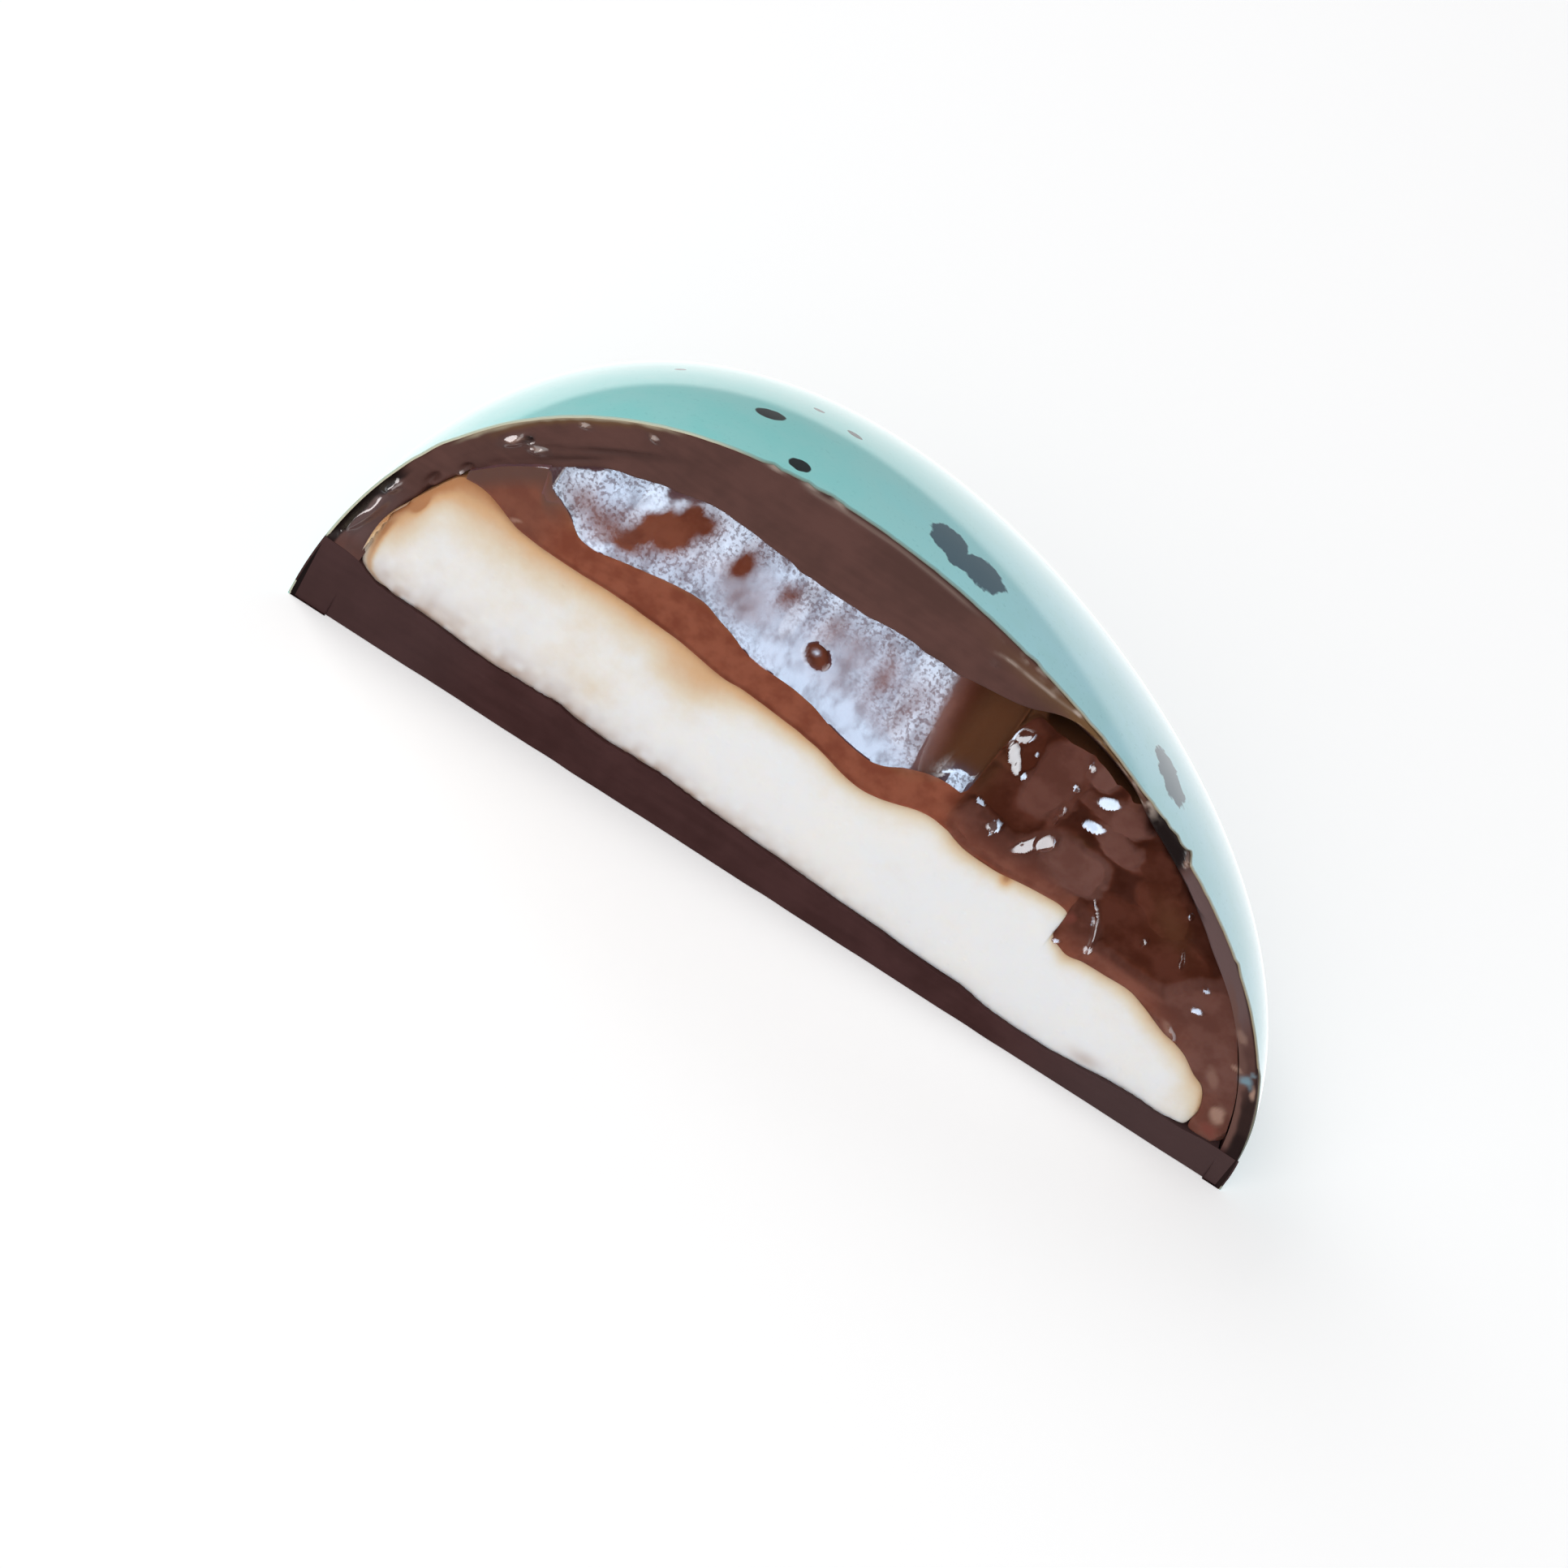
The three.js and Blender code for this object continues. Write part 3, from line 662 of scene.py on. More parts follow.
# How deep the caramel has soaked in from the top edge, by distance from the blunt end.
SOAKED = [(2, 0.9), (4, 2.2), (8, 2), (12, 1.6), (15, 1.6), (17.5, 1.8), (20, 1), (24, 0.7), (30, 0.8), (38, 0.5),
          (44, 1), (47, 1)]
# The blunt end of the face, as distance from the egg's blunt end by height.
NOSE = [(2.9, 4.2), (3.1, 3.4), (3.3, 2.75), (3.6, 2.32), (4.05, 2.12), (4.7, 2.07), (5.5, 2.1), (6.3, 2.2),
        (7, 2.42), (7.8, 2.8), (8.6, 3.2), (9.2, 3.5), (10, 3.9)]
# Stains: spot, and strength.
STAINS = [(5, 10.2, 2, 1.1, 0, 0.38), (17.3, 8.2, 1.5, 1.2, 0, 0.28), (2.9, 7.4, 0.8, 1.9, 0, 0.3),
          (33.9, 8.2, 0.25, 0.4, 0, 0.7), (3.4, 8.2, 0.5, 0.2, 75, 1.2), (46.4, 3.4, 1, 1.6, 0, 0.16),
          (13.6, 4.6, 2.2, 1.6, 0, 0.2)]


def edge_curve(points, steps, closer=(0, 0, 1)):
    """The columns of a table of points, each a smooth function of the length run along the first two. The steps are
    as many times closer between two distances from the blunt end as closer's last number says."""
    points = np.array(points, float)
    run = np.concatenate([[0], np.cumsum(np.hypot(*np.diff(points[:, :2], axis=0).T))])
    fine = np.linspace(0, run[-1], 4000)
    at_u = np.interp(fine, run, points[:, 0])
    count = np.cumsum(np.where((at_u > closer[0]) & (at_u < closer[1]), closer[2], 1))
    at = np.interp(np.linspace(count[0], count[-1], steps), count, fine)
    return [through(np.stack([run, column], 1), at)[:, None] for column in points.T]


marsh, nodes, shader = finish("white marshmallow")
cloudy = nodes.noise(1.5, 4)
stain = nodes.plus(nodes.layer("stain"), nodes.times(nodes.minus(cloudy, 0.5), 0.4))
colour = nodes.blend(nodes.ramp(nodes.noise(4, 3), 0.4, 0.62), (0.835, 0.84, 0.85), (0.855, 0.845, 0.83))
for low, high, stained in [
        (0, 0.45, (0.76, 0.66, 0.52)), (0.3, 0.85, (0.68, 0.43, 0.24)), (0.75, 1.35, (0.46, 0.21, 0.09))]:
    colour = nodes.blend(nodes.ramp(stain, low, high), colour, stained)
colour = nodes.blend(nodes.times(nodes.layer("foot"), 0.9), colour, (0.42, 0.3, 0.24))
height = nodes.plus(nodes.ramp(nodes.cells(0.5)[0], 0, 0.35), nodes.times(nodes.noise(0.7, 4), 1.6))
nodes.feed(shader, {
    "Base Color": colour, "Roughness": nodes.ramp(cloudy, 0.35, 0.65, 0.62, 0.8), "Subsurface Weight": 0.6,
    "Subsurface Radius": (1, 0.8, 0.6), "Subsurface Scale": 0.0009, "IOR": 1.4,
    "Normal": nodes.bump(height, 0.03, 0.5)})

top_u, top_z, low_u, low_z = edge_curve(WHITE_EDGES, WHITE_STEPS[0])
w = steps(WHITE_STEPS[1])
w = partway(w, ease(w, 0, 1), 0.5)
u, z = partway(low_u, top_u, w), partway(low_z, top_z, w)
to_top, to_low = np.hypot(top_u - u, top_z - z), np.hypot(u - low_u, z - low_z)
to_end = np.minimum(np.hypot(u - 2.27, 0.35 * (z - 4.9)), np.hypot(u - 46.97, 0.3 * (z - 2.2)))
relief = (0.24 + 0.05 * uneven(3.2, 21, u, z) + 0.025 * uneven(1.1, 22, u, z) + 0.12 * rounded(to_top, 0.5)
          + 0.06 * rounded(to_low, 0.4) + 0.14 * rounded(to_end, 0.7) - 0.07 * bell(u, 5.2, 1.4) * bell(z, 9.9, 0.9))
share = steps(WHITE_STEPS[2])
over = spread(top_u, partway(relief[:, -1:], depth_of_hollow(top_u, top_z), share), top_z)
side_u, side_z = partway(top_u, low_u, share), partway(top_z, low_z, share)
side = spread(side_u, depth_of_hollow(side_u, side_z), side_z)
under = spread(low_u, partway(depth_of_hollow(low_u, low_z), relief[:, :1], share), low_z - WHITE_INTO_FLOOR)
face = spread(u, np.maximum(relief, 0.03), z)
loops = np.concatenate([face, over[:, 1:], side[:, 1:-1], under[:, :-1]], axis=1)

u, v, z = np.moveaxis(loops, -1, 0)
on_cut = (v < 1.2) * 1
to_top, to_low = np.hypot(top_u - u, top_z - z), np.hypot(low_u - u, low_z - z)
from_nose = u - np.interp(z, *np.array(NOSE).T)
stain = ((0.68 * np.exp(-((to_top / (1.15 * through(SOAKED, u))) ** 1.3)) + 0.45 * np.exp(-to_top / 0.3))
         * (1 - 0.35 * ease(u, 20, 26)) + humps(u, z, STAINS) + 0.25 * bell(from_nose, 0.1, 0.5)
         + 0.7 * bell(from_nose, 0.38, 0.17) * ease(z, 7.2, 5.8))
foot = np.exp(-to_low / (0.55 + 0.4 * bell(u, 8, 6))) * (1 - 0.8 * ease(u, 20, 34))
foot = foot * (1 + 0.5 * uneven(0.4, 23, u, z)) + 0.5 * bell(u, 41.5, 0.8) * bell(z, 2, 0.4)
marshmallow = body("marshmallow_filling", loops, marsh, {"stain": stain * on_cut, "foot": foot * on_cut})
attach(marshmallow, "root")
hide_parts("marshmallow")

# ----
# Caramel
# Soft caramel poured over the marshmallow. A pocket under the crown stayed
# empty, and its floor is a still, shiny skin. At the pointed end the knife
# tore the caramel into wet lumps and smeared it round the marshmallow.
# ----

# Columns of the cut face: bottom u and z on the marshmallow's edge, top u and z on the pocket's edge or the wall.
CARAMEL_EDGES = [
    (4.6, 10.76, 4.55, 11.3), (5.2, 10.82, 5, 11.75), (5.8, 10.73, 5.6, 12.35), (6.5, 10.46, 6.35, 13),
    (7.1, 10.16, 7.1, 13.5), (7.6, 9.98, 7.65, 13.7), (8.2, 9.88, 8.1, 12.95), (8.8, 9.81, 8.7, 12.6),
    (9.5, 9.78, 9.4, 12.15), (10.2, 9.76, 10.1, 11.5), (10.9, 9.75, 10.9, 11.3), (11.7, 9.78, 11.7, 11.5),
    (12.6, 9.78, 12.6, 11.7), (13.6, 9.74, 13.6, 11.92), (14.6, 9.68, 14.6, 12.1), (15.6, 9.62, 15.6, 12.21),
    (16.4, 9.53, 16.4, 12.15), (17.2, 9.41, 17.2, 11.83), (18, 9.26, 18, 11.53), (18.8, 9.16, 18.8, 11.13),
    (19.6, 9.21, 19.6, 10.93), (20.6, 9.12, 20.6, 10.9), (21.6, 9.03, 21.6, 10.85), (22.6, 8.92, 22.6, 10.63),
    (23.5, 8.78, 23.5, 10.27), (24.3, 8.57, 24.3, 10.01), (25.2, 8.28, 25.2, 9.83), (26, 8.11, 26, 9.77),
    (26.7, 8.09, 26.7, 9.99), (27.4, 8.25, 27.4, 10.47), (28.1, 8.51, 28.1, 10.8), (28.8, 8.77, 28.8, 11.02),
    (29.3, 8.88, 29.35, 11.05), (29.7, 8.89, 29.8, 11.02), (29.9, 8.87, 30.08, 11), (29.97, 8.86, 30.2, 11.05),
    (30.03, 8.85, 30.27, 11.4), (30.12, 8.83, 30.33, 12.1), (30.22, 8.81, 30.37, 12.9), (30.4, 8.75, 30.44, 14),
    (30.6, 8.68, 30.6, 15.1), (30.85, 8.56, 30.95, 15.9), (31.3, 8.38, 31.5, 16.15), (32, 8.26, 32.1, 16.1),
    (32.7, 8.23, 32.8, 16.15), (33.4, 8.23, 33.5, 16.2), (34.2, 8.36, 34.2, 16.1), (35, 8.48, 34.9, 15.85),
    (35.8, 8.55, 35.6, 15.5), (36.4, 8.58, 36.3, 15.35), (36.93, 8.42, 37.1, 15.4), (36.9, 8.1, 37.7, 15.1),
    (36.78, 7.6, 38.25, 15), (36.84, 7.12, 38.75, 14.65), (37.25, 6.55, 39.2, 14.35), (38.1, 6.4, 39.6, 14.05),
    (38.8, 6.56, 40, 13.75), (40, 6.6, 40.6, 13.2), (41.2, 6.62, 41.4, 12.55), (42.2, 6.28, 42.2, 11.95),
    (43, 5.9, 43, 11.1), (43.6, 5.64, 43.7, 10.5), (44.3, 5.48, 44.4, 9.95), (45, 5.18, 45.2, 9.15),
    (45.8, 4.58, 46, 8.1), (46.4, 4.25, 46.7, 7.05), (46.8, 3.6, 47.3, 6.05), (47, 2.9, 47.8, 5.1),
    (46.97, 2.3, 48.2, 4.1), (47.1, 1.85, 48.5, 3.1), (47.6, 1.8, 48.7, 2.4), (48.2, 1.8, 48.75, 1.95),
]
CARAMEL_STEPS = (600, 88, 58, 8, 6)  # along the egg, up the cut face, over the pocket's floor, down the wall, under it
CARAMEL_INTO_WALL, CARAMEL_INTO_WHITE = 0.08, 0.07
CLOSER_STEPS = (30, 45, 2.4)  # from where to where the steps along the egg are closer, and by what factor
# Facets of the torn face: spot, depth behind the cut, how much deeper it gets per millimetre upwards, and tone: 1
# smeared with chocolate, paler with its painted sheen, 0 clear, below 0 painted dark shade.
FACETS = [
    (33.1, 14.6, 0.95, 2.1, -3, 0.54, 0.05, 0.55), (34.75, 15.9, 0.65, 0.6, -20, 0.6, 0.1, 0.95),
    (34.2, 14.4, 0.22, 1.9, -3, 0.6, 0, 0.3), (31.2, 14.9, 0.8, 1.3, -12, 0.66, 0.05, 0),
    (35.3, 14.4, 1.1, 0.4, -6, 0.65, 0.1, 0.6), (36.9, 14.9, 0.95, 0.85, 35, 0.6, 0.1, 0.8),
    (36.6, 15.75, 0.35, 0.35, 0, 0.54, 0, 0.6), (37, 13.2, 1.2, 0.55, -14, 0.58, 0.1, 0.8),
    (35, 12.7, 0.85, 0.5, 5, 0.82, 0, -0.45), (35.9, 10.9, 1.6, 1.2, 5, 0.48, 0.02, 1),
    (32, 12.1, 1.7, 1.1, -15, 0.72, 0.04, -0.15), (34.2, 11.2, 0.4, 1.2, -35, 0.54, 0.08, 0.5),
    (33.4, 9.7, 2.6, 0.8, -4, 0.44, 0, 0.5), (38.1, 11.3, 1.3, 0.35, 60, 0.87, 0, -0.6),
    (39.3, 13.2, 0.9, 1.3, 35, 0.67, 0, -0.3), (40.3, 11.6, 1.5, 0.95, -35, 0.62, 0.03, -0.05),
    (40.7, 9.4, 3.1, 1.5, -4, 0.74, 0.02, -0.1), (40.8, 7.3, 2.9, 0.5, -3, 0.3, 0, 0.5),
    (37.6, 7.75, 0.95, 1.2, -8, 0.3, 0, 0.3), (44.7, 7.8, 1.7, 2.1, -40, 0.28, 0, 0.75),
    (46.2, 5.7, 1.6, 1.8, -48, 0.24, 0, 0.95), (47.6, 3.3, 1, 1.9, -15, 0.2, 0, 0.8),
]
FACET_EDGE, FACET_BOWL = 0.95, 0.04  # where a facet ends, as its oval's distance, and how much it is hollowed
FACETS_ROUNDED, TONES_MIXED = 0.1, 22  # how soft the ridges between facets are, and how sharply their tones change
BETWEEN_FACETS = (0.85, -0.6)  # depth and tone of the torn face where no facet reaches, the tone being painted shade
STRIP_DEPTH = 0.16  # depth of the smooth strip over the marshmallow
TORN_DEPTH = 0.5  # middle depth of the torn face, from which its marks' places are worked out
# Wet marks on the torn face, small planes that lean back: spot, and how far they stand out.
BEADS = [
    (30.8, 15.4, 0.62, 0.19, 38, 0.16), (31.14, 14.36, 0.85, 0.2, -55, 0.16), (30.42, 14.85, 0.3, 0.13, 80, 0.1),
    (31.95, 13.6, 0.13, 0.11, 0, 0.16), (31.85, 15.05, 0.1, 0.08, 0, 0.13), (34.1, 16.1, 0.2, 0.1, -50, 0.16),
    (34.05, 14.72, 0.17, 0.12, -20, 0.16), (34.15, 13.25, 0.27, 0.1, 82, 0.15), (34.17, 12.65, 0.25, 0.08, 84, 0.1),
    (33.86, 10.85, 0.85, 0.17, 59, 0.16), (34.38, 11.5, 0.42, 0.25, 56, 0.16), (35.6, 14.88, 0.46, 0.17, 22, 0.16),
    (35.66, 13.4, 0.45, 0.16, 14, 0.16), (31.05, 11.15, 0.24, 0.1, -20, 0.13), (32.1, 10.62, 0.3, 0.16, 30, 0.16),
    (32.15, 10.3, 0.1, 0.1, 0, 0.14), (38.62, 7.75, 0.16, 0.12, 0, 0.16), (40.45, 9.45, 0.2, 0.09, 80, 0.16),
    (44.15, 8.25, 0.24, 0.09, 8, 0.15), (37.25, 7.25, 0.17, 0.08, 25, 0.14), (42.3, 9.8, 0.4, 0.08, -65, 0.09),
    (43.9, 6.4, 0.35, 0.08, -40, 0.09), (41.45, 12.05, 0.12, 0.08, -30, 0.14), (43.9, 9.4, 0.14, 0.08, 0, 0.13),
]
BEAD_LEAN = 1.2  # how much deeper a wet mark gets per millimetre upwards
THREAD = [(7.7, 38.66), (8.2, 38.6), (8.8, 38.4), (9.4, 38.08), (10.1, 37.5)]  # z and u of a thin wet thread
THREAD_HALF_WIDTH, THREAD_HEIGHT = 0.12, 0.2
# The shine of the pocket's still skin, its gloss and its painted blue-grey reflection: spot, and change of the shine.
SHINE = [
    (10.4, 13.2, 1.8, 0.75, -12, -0.5), (13.2, 14.5, 2, 1.05, 55, -1.2), (14.2, 16.2, 0.6, 0.5, 20, -0.5),
    (16.8, 15.2, 1.3, 0.5, 85, -0.85), (19.5, 15.1, 1, 0.4, 80, -0.6), (21.6, 15.1, 0.9, 0.6, 80, -0.4),
    (24.5, 14.4, 1.7, 0.5, 95, -0.45), (25.9, 13.2, 1.5, 0.5, 85, -0.3), (17.8, 13.6, 1.1, 0.9, 90, -0.35),
    (22.8, 14.3, 1.9, 0.5, 95, -0.25), (24.2, 11.2, 1.6, 0.7, -15, 0.2), (20.3, 12.4, 1, 0.9, 0, 0.1),
    (18.8, 15.9, 0.7, 0.4, 0, 0.2), (28, 13.5, 3, 0.7, 90, -0.6), (12, 12.4, 1.1, 0.3, 0, -0.3),
    (29.5, 11.7, 1, 0.75, -10, 1.2), (9.2, 13.9, 1.2, 0.6, 35, -0.15), (11.6, 15.4, 1.5, 0.6, 30, 0.4),
    (15.3, 15.8, 0.9, 0.4, 90, 0.3), (11.2, 11.9, 0.9, 0.3, 5, 0.3),
]
# Where the pocket's skin has no grain: spot, and how much of it is gone.
CALM = [
    (21.3, 12.4, 4.4, 1.7, -14, 1.3), (25.2, 10.9, 2.2, 0.8, -14, 0.9), (11.6, 15.2, 1.3, 0.6, 35, 0.9),
    (18.4, 15.5, 1.1, 0.6, 0, 0.8), (23, 14.6, 1.2, 1.4, 80, 0.8), (25.4, 15.2, 0.7, 0.8, 0, 0.7),
    (17.5, 14.2, 1.2, 1.2, 0, 0.7), (11.2, 12, 1, 0.3, 5, 0.7),
]
# Olive stains on the torn face: spot, and strength.
OLIVE = [(35.5, 12.3, 0.6, 0.3, 30, 0.8), (36.6, 15.7, 0.3, 0.4, 0, 0.7), (41, 11.3, 1.4, 0.7, -40, 0.6),
         (30.4, 13, 0.7, 1.6, 0, 0.7)]
# Height of the pocket's floor at the cut, behind the lip.
POCKET_BASE = [
    (7, 11.45), (9, 11.4), (10.9, 11.3), (12, 11.45), (13.6, 11.75), (15, 11.85), (16.2, 11.75), (17.5, 11.45),
    (19, 11.05), (20.6, 10.82), (22.2, 10.55), (23.8, 10.12), (25.2, 9.78), (26.4, 9.7), (27.4, 9.78), (28.2, 10.1),
    (29, 10.85), (29.6, 11.2), (31, 11.5),
]
POCKET_SLOPE, POCKET_CURVE = 0.62, 0.135  # how its floor rises backwards: factors of the depth and of its square
POCKET_BLUNT_SLOPE = 1.32  # at the blunt end, where it is straight
LOOKED_BACK, LOOKS = 12, 600  # how far back, and in how many steps, the place where it meets the wall is looked for
POCKET_INTO_WALL = 0.12
BUBBLE_U, BUBBLE_V, BUBBLE_RADIUS, BUBBLE_HEIGHT = 21.6, 1.5, 0.6, 0.3  # in the pocket's floor
BUBBLE_SQUEEZE = 1.75  # how much shorter the bubble is across than along the egg
BUBBLE_SEEN = 13.4  # height at which its middle is seen


def soft_min(first, second, reach):
    """The smaller of two, rounded where they meet: min - h^2 / 4 reach, with h = max(reach - |difference|, 0)."""
    h = np.maximum(reach - np.abs(first - second), 0)
    return np.minimum(first, second) - h * h / (4 * reach)


def caramel_relief(u, z, to_low, to_top):
    """How far the caramel's face lies behind the cut plane, its tone and its wetness: a smooth strip over the
    marshmallow, and from u = 30 on the nearest of the facets, each with depth = its own + bowl d^2 inside its oval and
    a steep slope outside. Each bead swaps its oval for the plane depth there - height + lean * way up. The tone is
    the mean of the facets' own, weighted e^-(mixed (depth - least)): smear with its painted sheen above 0, painted
    shade below 0. It is wet on the beads and on a thin thread."""
    strip = STRIP_DEPTH + 0.03 * uneven(0.8, 31, 0.35 * u, z) + 0.02 * uneven(0.6, 32, u, z)
    seen = z + SEEN_RISE * TORN_DEPTH
    bent_u = u + 0.14 * uneven(0.7, 33, u, z) + 0.07 * uneven(0.3, 37, u, z)
    bent_z = seen + 0.14 * uneven(0.7, 34, u, z) + 0.07 * uneven(0.3, 38, u, z)
    torn = BETWEEN_FACETS[0] + 0.1 * uneven(1.2, 35, u, z)
    depths, tones = [torn], [BETWEEN_FACETS[1]]
    for *spot, depth, lean, own_tone in FACETS:
        d = oval(bent_u, bent_z, *spot, power=3)
        outside = np.maximum(d - FACET_EDGE, 0) * min(spot[2:4])
        depths.append(depth + lean * (seen - spot[1]) + FACET_BOWL * d * d + outside)
        tones.append(own_tone)
        torn = soft_min(torn, depths[-1], FACETS_ROUNDED)
    weights = [np.exp(-TONES_MIXED * (one - torn)) for one in depths]
    tone = sum(weight * one for weight, one in zip(weights, tones)) / sum(weights)
    torn = torn + 0.03 * uneven(0.8, 36, u, z)
    wet, jag = 0, uneven(0.25, 39, u, z)
    for *spot, high in BEADS:
        at_u, at_z, _, _, tilt = spot
        d = oval(u + 0.05 * jag, seen + 0.05 * jag, *spot)
        up = (seen - at_z) * math.cos(math.radians(tilt)) - (u - at_u) * math.sin(math.radians(tilt))
        level = torn.flat[np.argmin(np.hypot(u - at_u, seen - at_z))]
        torn = partway(torn, np.maximum(level - high + BEAD_LEAN * up, 0.04) + 0.02 * jag, ease(d, 1.7, 1))
        wet = np.maximum(wet, ease(d, 1.25, 0.9) * np.clip(high / 0.1 - 0.6, 0, 1))
    beside = (u - through(THREAD, seen)) / THREAD_HALF_WIDTH
    on_thread = band(seen, 7.6, 8, 9.9, 10.2)
    wet = np.maximum(wet, on_thread * ease(np.abs(beside + 0.6), 1.3, 0.8))
    torn = np.minimum(torn - THREAD_HEIGHT * on_thread * np.exp(-beside ** 2), 0.26 + 0.9 * to_low)
    depth = (partway(strip, torn, ease(u, 30.05, 30.8)) + 0.35 * bell(to_top, 0, 0.5) * bell(u, 31, 0.5)
             + 0.4 * bell(to_top, 0, 0.35) * band(u, 36.4, 37.2, 41.5, 43.5) + 0.1 * rounded(to_low, 0.2))
    return np.maximum(depth, 0.015), tone, wet


def from_bubble(u, v):
    """Distance from the bubble's middle, counted longer across the egg than along it."""
    return np.hypot(u - BUBBLE_U, BUBBLE_SQUEEZE * (v - BUBBLE_V))


def pocket_floor(u, v, lip):
    """Height of the pocket's floor: base + slope v + curve v^2 with ripples that run backwards and a bubble. At the
    blunt end it is straight and steep. Towards u = 30 it rises about eight times as fast behind a small shelf, where
    it turns up into the torn face; behind that face it falls away. At v = 0 it starts at the lip."""
    base = lip + np.minimum(through(POCKET_BASE, u) - lip, 0) * band(u, 7.5, 8, 29.2, 30.4)
    shelf = np.maximum(v - 0.75 * bell(u, 29.8, 1), 0)
    steeper = 7 * ease(u, 27.2, 30.5) ** 2
    blunt = ease(u, 12.5, 9.5)
    rises = partway(POCKET_SLOPE, POCKET_BLUNT_SLOPE, blunt) * v + POCKET_CURVE * (1 - blunt) * v * v
    rises = rises + steeper * (0.5 * shelf + 0.14 * shelf * shelf)
    rises = partway(rises, 0.06 * v * v - 0.25 * v, ease(u, 30.7, 31.5))
    ripples = (0.03 * uneven(1, 41, u, 0.5 * v) + 0.012 * uneven(0.5, 42, u, 0.5 * v)
               + 0.05 * uneven(2.6, 43, u, 0.5 * v) + 0.007 * uneven(0.32, 44, u, v))
    bubble = BUBBLE_HEIGHT * np.sqrt(np.maximum(1 - (from_bubble(u, v) / BUBBLE_RADIUS) ** 2, 0))
    return base + rises + ripples * ease(v, 0, 0.6) * (1 - 0.8 * ease(u, 27.5, 29)) + bubble


def ceiling(u, v):
    """Height of the wall's inside over the point u, v: z with v^2 + z^2 = radius^2."""
    turn = np.arcsin(np.clip(v / np.maximum(hollow(u, 0 * v), 1), 0, 1))
    return np.sqrt(np.maximum(hollow(u, turn) ** 2 - v ** 2, 0))


low_u, low_z, top_u, top_z = edge_curve(CARAMEL_EDGES, CARAMEL_STEPS[0], CLOSER_STEPS)
w = steps(CARAMEL_STEPS[1])
u, z = partway(low_u, top_u, w), partway(low_z, top_z, w)
relief, tone, wet = caramel_relief(u, z, np.hypot(u - low_u, z - low_z), np.hypot(top_u - u, top_z - z))
face, lip = spread(u, relief, z), relief[:, -1:]
reach = LOOKED_BACK * steps(LOOKS)
under_wall = pocket_floor(top_u, reach, top_z) >= ceiling(top_u, lip + reach)
meets = np.where(under_wall.any(axis=1), reach[0, np.argmax(under_wall, axis=1)], reach[0, -1])[:, None]
v = (meets + POCKET_INTO_WALL) * steps(CARAMEL_STEPS[2]) ** 1.15
skin_z = np.minimum(pocket_floor(top_u, v, top_z), ceiling(top_u, lip + v) + 0.05)
skin_z[:, :1] = top_z
pocket = spread(top_u, lip + v, skin_z)
end_turn = np.arctan2(pocket[:, -1:, 1], pocket[:, -1:, 2])
stop_turn = np.arctan2(depth_of_hollow(low_u, low_z), low_z)
share = steps(CARAMEL_STEPS[3])
turn = partway(end_turn, np.maximum(stop_turn, end_turn), share)
behind_u = partway(top_u, low_u, share)
radius = hollow(behind_u, turn) + CARAMEL_INTO_WALL
behind = spread(behind_u, radius * np.sin(turn), radius * np.cos(turn))
share = steps(CARAMEL_STEPS[4])
under = spread(low_u, partway(behind[:, -1:, 1], relief[:, :1], share), low_z - CARAMEL_INTO_WHITE)
loops = np.concatenate([face, pocket[:, 1:], behind[:, 1:], under[:, 1:-1]], axis=1)

# What colours the face and the pocket's skin, each from 0 to 1.
u, v, z = np.moveaxis(loops, -1, 0)
seen_z = z + SEEN_RISE * v
column = np.arange(loops.shape[1])[None]
in_face = column < CARAMEL_STEPS[1]
in_pocket = ~in_face & (column < CARAMEL_STEPS[1] + CARAMEL_STEPS[2] - 1)
face_only = ((0, 0), (0, loops.shape[1] - CARAMEL_STEPS[1]))
to_edge = np.hypot(u - top_u, z - top_z)
in_bubble = ease(from_bubble(u, v - lip), BUBBLE_RADIUS + 0.14, BUBBLE_RADIUS - 0.1) * in_pocket
bubble_shade = 0.3 + 0.35 * ease(BUBBLE_U - u + BUBBLE_SEEN - seen_z, 0, 0.8)
torn = np.where(in_face, ease(u + 0.5 * ease(z, 11, 12.5), 29.3, 31) * ease(z - low_z, 0.2, 1.5),
                ease(u, 26.8, 29.5))
smear_and_sheen = np.pad(np.maximum(tone, 0) * ease(low_u, 29.6, 31), face_only)
# Painted shade, nearly black: on the dark facets and between them, in the gap under the wall from u = 37 to 42, round
# the drip's bulb and on the bubble, most to its lower left; also a darker line just above the marshmallow.
deep = np.maximum.reduce([
    np.pad(np.maximum(-tone, 0) * ease(low_u, 30, 31), face_only),
    ease(to_edge + 0.25 * uneven(0.6, 53, u, z), 1, 0.35) * band(u, 36.9, 37.6, 41, 42.5) * in_face,
    humps(u, seen_z, [(36.98, 7.45, 0.35, 0.5, 0, 0.6)]) * in_face,
    0.3 * bell(z - low_z, 0.16, 0.12) * band(u, 8, 10, 24, 28) * in_face,
    in_bubble * bubble_shade])
cocoa = np.maximum(0.4, ease(to_edge, 2.2, 0.4)) * ease(u, 9.8, 7.9) * in_face
olive = np.where(in_pocket, ease(u, 27.6, 29), humps(u, seen_z, OLIVE))
rosy = 0.5 * bell(u + 0.1 * (seen_z - 14), 27.55, 0.5) + 0.25 * bell(seen_z, 13.2, 0.8) * bell(u, 10.2, 1.6)
stray = 0.3 * uneven(1, 54, u, v) + 0.16 * uneven(0.35, 55, u, v)
shine = 0.8 + 1.2 * humps(u + stray, seen_z - stray, SHINE)
past_lamp = ease(u + 0.12 * (seen_z - 16.2), 26.9, 27.5)
shine = shine * (1 - past_lamp * (1 - np.minimum(1.5 * bell(u, 29.7, 0.75) * bell(seen_z, 11.6, 0.75), 1)))
